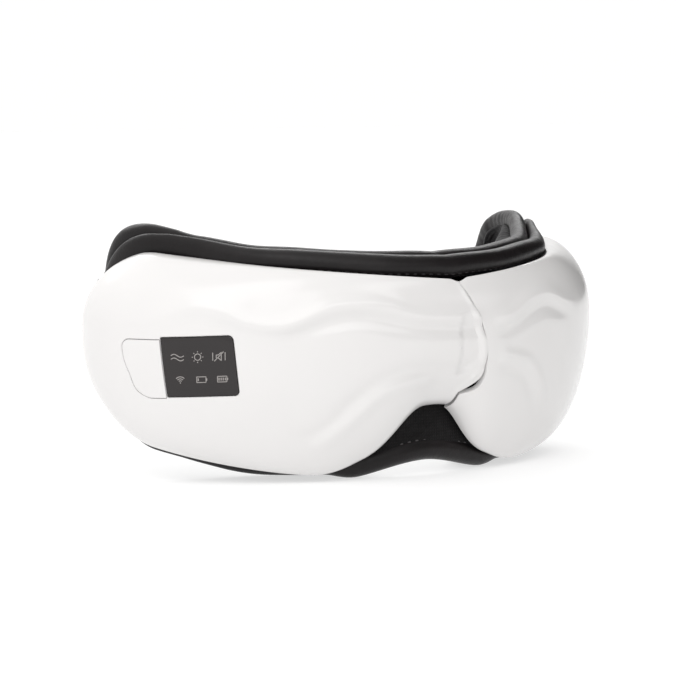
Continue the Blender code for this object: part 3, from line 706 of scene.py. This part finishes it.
# The window's near side runs from WINDOW_LOW to WINDOW_HIGH, as (s, z), and its far side between the
# arc lengths in WINDOW_FAR at the same heights. The button's far side runs through BUTTON_FAR.
WINDOW_LOW = (69.3, 27.3)
WINDOW_HIGH = (71.2, 45.2)
WINDOW_FAR = (91.5, 93.1)
BUTTON_FAR = ((26.8, 99.6), (29.5, 101.8), (34.3, 103.7), (38, 105.2), (42, 105.9), (45, 106.0))
BUTTON_GAP = 0.45
PANEL_GAP = 0.16
PANEL_ROWS, PANEL_COLUMNS = 30, 20


def window_edges(z):
    """The window's two sides at height z."""
    share = (z - WINDOW_LOW[1]) / (WINDOW_HIGH[1] - WINDOW_LOW[1])
    near = WINDOW_LOW[0] + (WINDOW_HIGH[0] - WINDOW_LOW[0]) * share
    return near, WINDOW_FAR[0] + (WINDOW_FAR[1] - WINDOW_FAR[0]) * share


def button_edges(z):
    return window_edges(z)[1] + BUTTON_GAP, through(BUTTON_FAR, np.asarray(z, float))


def lean(s):
    """The panel's rows fall a little towards the temple."""
    return 0.6 - 0.042 * np.clip(s - 71, -5, 24)


def panel_rows(edges, z_span, radii, grow):
    """z and the two sides of each row; radii round (near low, near high, far low, far high)."""
    low, high = z_span[0] - grow, z_span[1] + grow
    z = low + (high - low) * (1 - np.cos(np.linspace(0, np.pi, PANEL_ROWS))) / 2
    near, far = edges(z)
    near, far = near - grow, far + grow

    def corner(radius, away):
        radius = radius + grow
        return radius - np.sqrt(np.maximum(radius**2 - np.maximum(radius - away, 0) ** 2, 0))

    near = near + corner(radii[0], z - low) + corner(radii[1], high - z)
    far = far - corner(radii[2], z - low) - corner(radii[3], high - z)
    return z, near, far


def stacked_panel(name, edges, z_span, radii, layers, mat, slot=None):
    """A solid plate in the right housing's face, through layers of (grow, depth)."""
    points, outlines, count = [], [], 0
    for grow, depth in layers:
        z, near, far = panel_rows(edges, z_span, radii, grow)
        s = near[:, None] + (far - near)[:, None] * np.linspace(0, 1, PANEL_COLUMNS)[None, :]
        zz = z[:, None] + lean(s)
        points.append(place(-s, right_face(s, zz) + depth, zz).reshape(-1, 3))
        index = np.arange(s.size).reshape(s.shape) + count
        outlines.append(np.concatenate([
            index[0, :-1], index[:-1, -1], index[-1, :0:-1], index[:0:-1, 0]
        ]))
        count += s.size
    faces = grid_faces(PANEL_ROWS, PANEL_COLUMNS)
    faces += grid_faces(PANEL_ROWS, PANEL_COLUMNS, first=count - PANEL_ROWS * PANEL_COLUMNS)
    for low, high in zip(outlines, outlines[1:]):
        for k in range(len(low)):
            n = (k + 1) % len(low)
            faces.append((int(low[k]), int(low[n]), int(high[n]), int(high[k])))
    made = piece(name, np.concatenate(points), faces, mat)
    bm = bmesh.new()
    bm.from_mesh(made.data)
    loose = [v for v in bm.verts if not v.link_faces]
    bmesh.ops.delete(bm, geom=loose, context="VERTS")
    bm.to_mesh(made.data)
    bm.free()
    return made


# Each panel: its sides, its z span and its corners' radii. Layers are (grow, depth) from the front.
WINDOW = (window_edges, (27.3, 45.2), (1.3, 1.5, 0.25, 0.25))
BUTTON = (button_edges, (27.0, 44.5), (0.25, 0.25, 3.0, 2.6))
CUTTER_LAYERS = ((PANEL_GAP + 1.0, -0.9), (PANEL_GAP, 0.25), (PANEL_GAP, 5))
WINDOW_LAYERS = ((-0.3, 0.10), (-0.1, 0.13), (0, 0.3), (0, 1.8))
BUTTON_LAYERS = ((-0.3, 0.04), (-0.1, 0.06), (0, 0.16), (0, 1.8))


def panel_cutters():
    yield stacked_panel("window_cut", *WINDOW, CUTTER_LAYERS, "shell")
    yield stacked_panel("button_cut", *BUTTON, CUTTER_LAYERS, "shell")


def make_panel():
    window = stacked_panel("window_glass", *WINDOW, WINDOW_LAYERS, "window", "window_plastic")
    sharpen(window, 40)
    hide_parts("display_window")
    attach(window, "right_half")
    button = stacked_panel("button_cap", *BUTTON, BUTTON_LAYERS, "button", "shell_plastic")
    sharpen(button, 40)
    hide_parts("power_button")
    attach(button, "power_button")
    icons = joined("panel_icons", list(icon_strokes()))
    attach(icons, "right_half")
    mark = joined("button_symbol", list(power_symbol()))
    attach(mark, "power_button")


PRINT_DEPTH = 0.085
PRINT_THICKNESS = 0.05
DENSE_STEP = 0.15


def stroke(path, width, mat="icons", closed=False):
    """A thin printed line on the panel along (s, z) points, in millimetres."""
    path = np.array(path, float)
    if closed:
        along = np.roll(path, -1, 0) - np.roll(path, 1, 0)
    else:
        along = np.gradient(path, axis=0)
    along /= np.linalg.norm(along, axis=1, keepdims=True) + 1e-9
    across = np.stack([-along[:, 1], along[:, 0]], -1) * width / 2
    points = []
    for way, d in ((1, 0), (-1, 0), (-1, PRINT_THICKNESS), (1, PRINT_THICKNESS)):
        s, z = (path + way * across).T
        z = z + lean(s)
        points.append(place(-s, right_face(s, z) + PRINT_DEPTH + d, z))
    points = np.stack(points, 1)
    count = len(path)
    faces = grid_faces(count, 4, closed_rows=closed, closed_columns=True)
    if not closed:
        faces += [(0, 1, 2, 3), tuple(4 * (count - 1) + k for k in (3, 2, 1, 0))]
    return piece("stroke", points, faces, mat, shade=False)


def dense(points):
    """The straight runs through the points, with more points along them."""
    points = np.array(points, float)
    out = [points[:1]]
    for a, b in zip(points, points[1:]):
        n = max(int(np.linalg.norm(b - a) / DENSE_STEP), 1)
        out.append(a + (b - a) * np.linspace(0, 1, n + 1)[1:, None])
    return np.concatenate(out)


def arc(centre, radius, first, last, count):
    a = np.radians(np.linspace(first, last, count))
    return np.stack([centre[0] + radius * np.cos(a), centre[1] + radius * np.sin(a)], -1)


ICON_ROWS = (39.2, 32.4)
ICON_COLUMNS = ((87.9, 81.7, 75.3), (87.2, 80.7, 74.4))
LINE = 0.25
HORN = ((0.8, -0.45), (0.2, -0.45), (-0.7, -1.2), (-0.7, 1.2), (0.2, 0.45), (0.8, 0.45), (0.8, -0.45))
CHARGE_FRAME = ((-1.4, -0.85), (1.4, -0.85), (1.4, 0.85), (-1.4, 0.85), (-1.4, -0.85))
POWER_CENTRE = (98.4, 37.0)
POWER_LINE = 0.34


def icon_strokes():
    """Generic marks: waves, warmth, muted sound, a wireless link and two charge levels."""
    (waves, sun, sound), (link, low_charge, full_charge) = ICON_COLUMNS
    top, low = ICON_ROWS
    for shift in (0.55, -0.55):
        x = np.linspace(-2.0, 2.0, 30)
        yield stroke(np.stack([waves - x, top + shift - 0.45 * np.sin(x * 1.5)], -1), LINE)
    yield stroke(arc((sun, top), 0.95, 0, 347, 28)[:-1], LINE, closed=True)
    for k in range(8):
        angle = math.radians(45 * k)
        ray = [(sun + r * math.cos(angle), top + r * math.sin(angle)) for r in (1.4, 1.75)]
        yield stroke(dense(ray), LINE)
    yield stroke(dense([(sound + x, top + z) for x, z in HORN]), LINE)
    yield stroke(dense([(sound + 1.4, top - 1.4), (sound - 1.4, top + 1.4)]), LINE)
    for s in (sound - 1.85, sound + 1.85):
        yield stroke(dense([(s, top - 1.2), (s, top + 1.2)]), LINE)
    for radius in (0.6, 1.2, 1.8):
        yield stroke(arc((link, low - 0.8), radius, 45, 135, 12), LINE)
    yield stroke(dense([(link - 0.15, low - 0.85), (link + 0.15, low - 0.85)]), 0.32)
    for centre, bars in ((low_charge, 1), (full_charge, 4)):
        yield stroke(dense([(centre + x, low + z) for x, z in CHARGE_FRAME]), 0.24)
        yield stroke(dense([(centre - 1.65, low - 0.35), (centre - 1.65, low + 0.35)]), 0.26)
        for k in range(bars):
            s = centre + 0.95 - 0.63 * k
            yield stroke(dense([(s, low - 0.42), (s, low + 0.42)]), 0.34)


def power_symbol():
    s, z = POWER_CENTRE
    yield stroke(arc(POWER_CENTRE, 1.9, 118, 422, 40), POWER_LINE, "button_mark")
    yield stroke(dense([(s, z + 0.5), (s, z + 2.4)]), POWER_LINE, "button_mark")


# ------------------------------------------------------------ leather cushion

PHI = np.radians(np.linspace(-90, 90, 331))


class Loop:
    """A closed line round one layer of the cushion: over the top from right to left, and back below.

    The two roundings say from which arc length the upper and the lower run close in, and where they meet.
    """

    def __init__(self, rounding, low_rounding, top, bottom, top_depth, bottom_depth, late):
        end = rounding[1]
        s = end * np.sin(PHI)
        flat = smooth((np.abs(s) - late) / (end - late))
        middle = (top_depth(s) + bottom_depth(s)) / 2
        upper = BELT_Z + (top(s) - BELT_Z) * end_scale(s, *rounding)
        lower = BELT_Z + (bottom(s) - BELT_Z) * end_scale(s, *low_rounding)
        upper_depth = top_depth(s) + (middle - top_depth(s)) * flat
        lower_depth = bottom_depth(s) + (middle - bottom_depth(s)) * flat
        self.s = np.concatenate([s, s[-2:0:-1]])
        self.depth = np.concatenate([upper_depth, lower_depth[-2:0:-1]])
        self.z = np.concatenate([upper, lower[-2:0:-1]])
        self.line = place(self.s, self.depth, self.z)
        along = np.roll(self.line, -1, 0) - np.roll(self.line, 1, 0)
        along /= np.linalg.norm(along, axis=1, keepdims=True)
        inner = inward(self.s)
        inner -= along * (inner * along).sum(1, keepdims=True)
        self.inner = inner / np.linalg.norm(inner, axis=1, keepdims=True)
        self.outer = np.cross(along, self.inner)

    def at(self, a, b):
        """Points moved a towards the face and b outwards."""
        a, b = np.broadcast_to(a, self.s.shape), np.broadcast_to(b, self.s.shape)
        return self.line + a[:, None] * self.inner + b[:, None] * self.outer


def temple_share(s):
    """0 over the nose and eyes, 1 at the temples."""
    return smooth((np.abs(s) - 50) / 48)


def front_top(s):
    """The highest line of the front roll, before its ends round off."""
    s = np.abs(s)
    dip = np.exp(-((s - 66) / 16) ** 2)
    return top_line(np.minimum(s, 99)) + 5.9 + 1.1 * (1 - smooth(s / 30)) - dip


def rear_top(s):
    s = np.abs(s)
    return front_top(s) + 0.4 + 2.3 * smooth((s - 88) / 26) + 0.4 * (1 - smooth(s / 40))


def front_depth(s):
    return top_inset(s) + 4.7 + 0.9 * smooth((np.abs(s) - 70) / 30)


def front_size(s):
    """Half the front roll's depth and height."""
    return 3.4 - 1.6 * temple_share(s), 3.6 + 0.4 * temple_share(s)


def rear_size(s):
    half_depth = 3.2 - 0.6 * temple_share(s) - 0.4 * smooth((np.abs(s) - 122) / 16)
    return half_depth, 3.3 - 0.1 * temple_share(s)


def rear_depth(s):
    return front_depth(s) + front_size(s)[0] + rear_size(s)[0] + 0.05


def front_bottom(s):
    """The middle line of the front roll's lower run."""
    away = np.abs(s)
    dip = 1.75 * smooth((away - 52) / 30) + 0.5 * smooth((away - 90) / 18)
    return cushion_bottom(s) + 3.6 + 1.45 * smooth((away - 27) / 12) - dip + 0.9 * temple_share(s)


FRONT_LOOP = Loop(
    (106.0, 134.9), (104.0, 134.9),
    lambda s: front_top(s) - front_size(s)[1],
    front_bottom,
    front_depth,
    lambda s: edge_inset(s, BOTTOM_INSET) + 4.6 + 1.2 * smooth((np.abs(s) - 30) / 25),
    late=110.0,
)
REAR_END = np.where(PHI < 0, 140.0, 153.0)  # the right temple's end, then the left one's
REAR_LOOP = Loop(
    (109.0, REAR_END, 3.0), (92.0, REAR_END, 2.0),
    lambda s: rear_top(s) - rear_size(s)[1],
    lambda s: nose_cut(s) + 3.6,
    rear_depth,
    lambda s: np.minimum(face_depth(s) - 4.2, 31 - 10 * smooth((np.abs(s) - 60) / 70)),
    late=138.0,
)


def lumps(points, size, height):
    """Smooth random unevenness at 3-D points, the same each run."""
    total = np.zeros(points.shape[:-1])
    for _ in range(10):
        direction = RNG.normal(size=3)
        direction /= np.linalg.norm(direction)
        turn = RNG.uniform(0, 2 * np.pi)
        pitch = 2 * np.pi / (size * RNG.uniform(0.7, 1.5))
        total += np.sin(points @ direction * pitch + turn)
    return total * height / 3.2


def gathers(loop, height):
    """Small folds across the roll, where it bends round the temples."""
    bend = smooth((np.abs(loop.s) - 92) / 18) * smooth((loop.z - 52) / 12)
    run = np.cumsum(np.linalg.norm(np.roll(loop.line, -1, 0) - loop.line, axis=1))
    return np.sin(run * 2 * np.pi / 3.1 + 1.6 * np.sin(run / 7.0)) * height * bend


def make_roll(name, loop, size, folds):
    """A stuffed leather roll round a loop, with folds of the given height round the temples."""
    around = 32
    half_depth, half_height = size(loop.s)
    turn = np.linspace(0, 2 * np.pi, around, endpoint=False)
    points = np.stack(
        [loop.at(half_depth * np.cos(angle), half_height * np.sin(angle)) for angle in turn], 1
    )
    away = points - loop.line[:, None, :]
    away /= np.linalg.norm(away, axis=-1, keepdims=True)
    inner_share = np.clip(np.cos(turn), 0, 1)[None, :]
    swell = lumps(points, 24, 0.10) + gathers(loop, folds)[:, None] * inner_share
    points = points + away * swell[..., None]
    faces = grid_faces(len(loop.s), around, closed_rows=True, closed_columns=True)
    return piece(name, points, faces, "leather")


SEAM = (2.3, -2.0)  # where the gusset and the lining meet a roll: towards the face, and outwards
GUSSET_SAG = -0.9
CLOTH = 0.9
LEATHER_THICKNESS = 1.0


def make_gusset():
    """The sewn band between the two rolls, pulled in along its middle."""
    first, second = FRONT_LOOP.at(*SEAM), REAR_LOOP.at(-SEAM[0], SEAM[1])
    across = 12
    v = np.linspace(0, 1, across)
    points = first[:, None, :] * (1 - v)[None, :, None] + second[:, None, :] * v[None, :, None]
    along = np.roll(first, -1, 0) - np.roll(first, 1, 0)
    normal = np.cross(second - first, along)
    normal /= np.linalg.norm(normal, axis=1, keepdims=True) + 1e-9
    width = np.linalg.norm(second - first, axis=1)[:, None]
    dip = GUSSET_SAG * np.sin(np.pi * v)[None, :] + lumps(points, 17, 0.2)
    dip = dip * np.clip(width / 6 - 0.4, 0, 1)
    points = points + normal[:, None, :] * dip[..., None]
    faces = grid_faces(len(first), across, closed_rows=True)
    gusset = piece("cushion_gusset", points, faces, "leather")
    thicken(gusset, LEATHER_THICKNESS)
    return settle(gusset)


LINING_ROWS = 120
LINING_EDGE = 0.9  # how far the lining stays short of the CAD cushion's face
POCKET_DEPTH = 24.2
EYE_SEAM = 1.4
EYE_SPREAD = float(np.linalg.norm(place(EYE_S + 1, 31.0, 0) - place(EYE_S - 1, 31.0, 0))) / 2


def eye_away(s, z):
    """Distance from the eye's middle, 1 at the edge of the massage pad's pocket."""
    across = (np.abs(s) - EYE_S) * EYE_SPREAD / (PAD_HALF[0] + 1.0)
    return np.hypot(across, (z - EYE_Z) / (PAD_HALF[1] + 1.0))


def make_lining():
    """The padded side that meets the face, from the rear roll's top to its bottom."""
    count = len(PHI)
    edge = REAR_LOOP.at(*SEAM)
    upper = edge[:count]
    lower = np.concatenate([edge[:1], edge[:count - 1:-1], edge[count - 1:count]])
    s = REAR_LOOP.s[:count]
    depth = REAR_LOOP.depth + SEAM[0]
    depth_upper = depth[:count]
    depth_lower = np.concatenate([depth[:1], depth[:count - 1:-1], depth_upper[-1:]])
    v = (1 - np.cos(np.linspace(0, np.pi, LINING_ROWS))) / 2
    v = (0.6 * v + 0.4 * np.linspace(0, 1, LINING_ROWS))[:, None]
    chord = upper[None] * (1 - v)[..., None] + lower[None] * v[..., None]
    chord_depth = depth_upper[None] * (1 - v) + depth_lower[None] * v
    z = chord[..., 2]
    span = (upper[:, 2] - lower[:, 2])[None, :]
    shoulder = np.maximum(np.minimum(10.0, 0.36 * span), 1e-3)
    rise = np.clip(np.minimum(upper[None, :, 2] - z, z - lower[None, :, 2]) / shoulder, 0, 1)
    rise = (1 - (1 - rise) ** 2.3) ** (1 / 2.3)
    ss = np.broadcast_to(s[None, :], z.shape)
    fade = 1 - smooth((np.abs(ss) - 104) / 22)
    puff = 1.4 * fade * smooth(np.abs(ss) / 20) * np.sin(np.pi * v) ** 2
    target = face_depth(ss) - LINING_EDGE + puff
    away = eye_away(ss, z)
    pocket = smooth((1.07 - away) / 0.12)
    seam = 1.1 * np.exp(-((away - EYE_SEAM) / 0.05) ** 2)
    target = (target - seam) * (1 - pocket) + POCKET_DEPTH * pocket
    points = chord + inward(ss) * ((target - chord_depth) * rise)[..., None]
    points = points + inward(ss) * (lumps(points, 15, 0.2) * rise)[..., None]
    lining = piece("face_lining", points, grid_faces(LINING_ROWS, count), "lining")
    thicken(lining, CLOTH)
    return settle(lining)


def across_fold(obj):
    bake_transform(obj)


def make_cushion():
    front = make_roll("front_roll", FRONT_LOOP, front_size, 0.03)
    rear = make_roll("rear_roll", REAR_LOOP, rear_size, 0.045)
    gusset = make_gusset()
    lining = make_lining()
    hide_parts("right_cushion", "left_cushion")
    for soft, fill in ((front, 0.8), (rear, 0.8), (gusset, 0.4), (lining, 0.6)):
        across_fold(soft)
    make_flap()
    for half, side in SIDES.items():
        make_eye_rim(half, side)
        make_eye_pad(half, side)


FLAP_REACH = 34
FLAP_TOP = 28.0


def make_flap():
    """The light-blocking flap over the nose, behind the notch."""
    rows, columns = 26, 90
    v = np.linspace(0, 1, rows)[:, None]
    s = np.broadcast_to(np.linspace(-FLAP_REACH, FLAP_REACH, columns), (rows, columns))
    low = cushion_bottom(s) + 5.6
    z = low + (FLAP_TOP - low) * v
    depth = edge_inset(s, BOTTOM_INSET) + 2.6 + 0.5 * np.sin(np.pi * v)
    points = place(s, depth, z)
    points = points + inward(s) * lumps(points, 12, 0.18)[..., None]
    flap = piece("nose_flap", points, grid_faces(rows, columns), "flap")
    thicken(flap, CLOTH)
    settle(flap)
    across_fold(flap)


def sweep(name, line, side_a, side_b, size, mat, slot, around=12, closed=True):
    """A round or oval bead along a line of points; size is its half-widths along the two sides."""
    turn = np.linspace(0, 2 * np.pi, around, endpoint=False)
    points = (
        line[:, None, :]
        + side_a[:, None, :] * (size[0] * np.cos(turn))[None, :, None]
        + side_b[:, None, :] * (size[1] * np.sin(turn))[None, :, None]
    )
    faces = grid_faces(len(line), around, closed_rows=closed, closed_columns=True)
    if not closed:
        last = (len(line) - 1) * around
        faces += [tuple(range(around)), tuple(last + k for k in reversed(range(around)))]
    return piece(name, points, faces, mat)


EYE_STEPS = 96
RIM_AWAY = 2.1
RIM_SIZE = (1.5, 1.3)
PAD_DEPTH = 26.9
PAD_DOME = 2.3
NUB_RADIUS = 2.2
NUB_HEIGHT = 1.35
NUBS = [(0.0, 0.0)] + [(9 * math.cos(k * math.pi / 3), 7.6 * math.sin(k * math.pi / 3)) for k in range(6)]


def make_eye_rim(half, side):
    """The leather bead round the opening that the massage pad looks out of."""
    angle = np.linspace(0, 2 * np.pi, EYE_STEPS, endpoint=False)
    s = side * EYE_S + (PAD_HALF[0] + RIM_AWAY) / EYE_SPREAD * np.cos(angle)
    z = EYE_Z + (PAD_HALF[1] + RIM_AWAY) * np.sin(angle)
    line = place(s, face_depth(s) - LINING_EDGE + 0.7, z)
    along = np.roll(line, -1, 0) - np.roll(line, 1, 0)
    along /= np.linalg.norm(along, axis=1, keepdims=True)
    inner = inward(s)
    inner -= along * (inner * along).sum(1, keepdims=True)
    outer = np.cross(along, inner)
    rim = sweep(f"{half}_eye_rim", line, inner, outer, RIM_SIZE, "leather", "leather")
    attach(rim, f"{half}_half")


def make_eye_pad(half, side):
    """The padded plate that presses on the eye, with its massage nubs."""
    s = np.array(side * EYE_S)
    turned = float(heading(s))
    across = np.array([math.cos(turned), math.sin(turned), 0.0])
    base = place(s, PAD_DEPTH, EYE_Z)
    radius = np.concatenate([[0.0], np.linspace(0.04, 1, 40)])
    lift = PAD_DOME * (1 - radius**6) ** 0.5 + 0.35 * (1 - radius**2)
    profile = [*zip(radius, lift), (1.0, 0.0), (0.6, 0.0), (0.0, 0.0)]
    turn = np.linspace(0, 2 * np.pi, EYE_STEPS, endpoint=False)
    rows = []
    for index, (r, h) in enumerate(profile):
        x = PAD_HALF[0] * r * np.cos(turn)
        y = PAD_HALF[1] * r * np.sin(turn)
        height = np.full(EYE_STEPS, h)
        if index < len(radius):
            for nub_x, nub_y in NUBS:
                away = np.hypot(x - nub_x, y - nub_y) / NUB_RADIUS
                height = np.maximum(height, h + NUB_HEIGHT * np.sqrt(np.maximum(1 - away**2, 0)))
        rows.append(base + x[:, None] * across + y[:, None] * UP + height[:, None] * inward(s))
    faces = grid_faces(len(profile), EYE_STEPS, closed_columns=True)
    pad = piece(f"{half}_eye_pad", np.stack(rows), faces, "pad")
    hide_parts(f"{half}_massage_pad")
    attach(pad, f"{half}_pad")


# ------------------------------------------------------------ stitching

STITCH_LENGTH = 1.5
STITCH_ARCH = 0.10


def stitches(name, lines, radius, mat):
    """Short threads at (point, along, out) places, made into one piece."""
    points, faces = [], []
    around, rings = 6, 5
    for point, along, out in lines:
        side_way = np.cross(along, out)
        first = len(points)
        for share in np.linspace(-1, 1, rings):
            size = radius * math.sqrt(max(1 - share**4, 0.02))
            middle = point + along * share * STITCH_LENGTH / 2 + out * STITCH_ARCH * (1 - share**2)
            for angle in np.linspace(0, 2 * np.pi, around, endpoint=False):
                points.append(middle + (out * math.cos(angle) + side_way * math.sin(angle)) * size)
        last = first + (rings - 1) * around
        faces += grid_faces(rings, around, closed_columns=True, first=first)
        faces.append(tuple(first + k for k in range(around)))
        faces.append(tuple(last + k for k in reversed(range(around))))
    return piece(name, np.array(points), faces, mat)


def seam_places(line, out, spacing):
    """(point, along, out) every spacing millimetres of a line of points."""
    steps = np.linalg.norm(np.diff(line, axis=0), axis=1)
    run = np.concatenate([[0], np.cumsum(steps)])
    at = np.arange(spacing / 2, run[-1], spacing)
    points = np.stack([np.interp(at, run, line[:, k]) for k in range(3)], -1)
    outs = np.stack([np.interp(at, run, out[:, k]) for k in range(3)], -1)
    outs /= np.linalg.norm(outs, axis=1, keepdims=True)
    along = np.gradient(points, axis=0)
    along /= np.linalg.norm(along, axis=1, keepdims=True)
    return zip(points, along, outs)


def make_stitching():
    """The rows of threads on the front roll, above the housings and under the nose."""
    half_depth, half_height = front_size(FRONT_LOOP.s)
    top, below = slice(0, len(PHI)), slice(len(PHI) - 1, None)
    for name, run, degrees, lower, reach, spacing, radius, mat in (
        ("top_stitching", top, -143, 0.05, 120, 2.7, 0.20, "thread"),
        ("nose_stitching", below, -128, 0.0, 30, 2.8, 0.26, "pale_thread"),
    ):
        angle = math.radians(degrees)
        row = FRONT_LOOP.at(half_depth * math.cos(angle) - lower, half_height * math.sin(angle))[run]
        out = (FRONT_LOOP.inner * math.cos(angle) + FRONT_LOOP.outer * math.sin(angle))[run]
        near = np.abs(FRONT_LOOP.s[run]) < reach
        across_fold(stitches(name, seam_places(row[near], out[near], spacing), radius, mat))


# ------------------------------------------------------------ runs over the fold

def make_crossings():
    """The cable and the air hose, each swept once along a fixed curve behind the hinge."""
    half = 9
    x = np.linspace(-half, half, 61)
    y = -26.4 + 0.9 * np.cos(x / half * np.pi / 2)
    for node, z, radius, mat, slot in (
        ("bridge_cable", 36, 1.1, "cable", "cable_rubber"),
        ("bridge_air_hose", 46, 1.6, "hose", "soft_hose"),
    ):
        line = np.stack([x, y, np.full(x.shape, z)], -1)
        along = np.gradient(line, axis=0)
        along /= np.linalg.norm(along, axis=1, keepdims=True)
        up = np.broadcast_to(UP, along.shape)
        sides = np.cross(along, up), up
        run = sweep(f"bent_{node}", line, *sides, (radius, radius), mat, slot, 20, closed=False)
        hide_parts(node)
        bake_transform(run)


def main():
    make_camera()
    make_studio()
    dress_cad_nodes()
    for half, side in SIDES.items():
        make_shell(half, side)
    make_panel()
    make_cushion()
    make_stitching()
    make_crossings()


main()
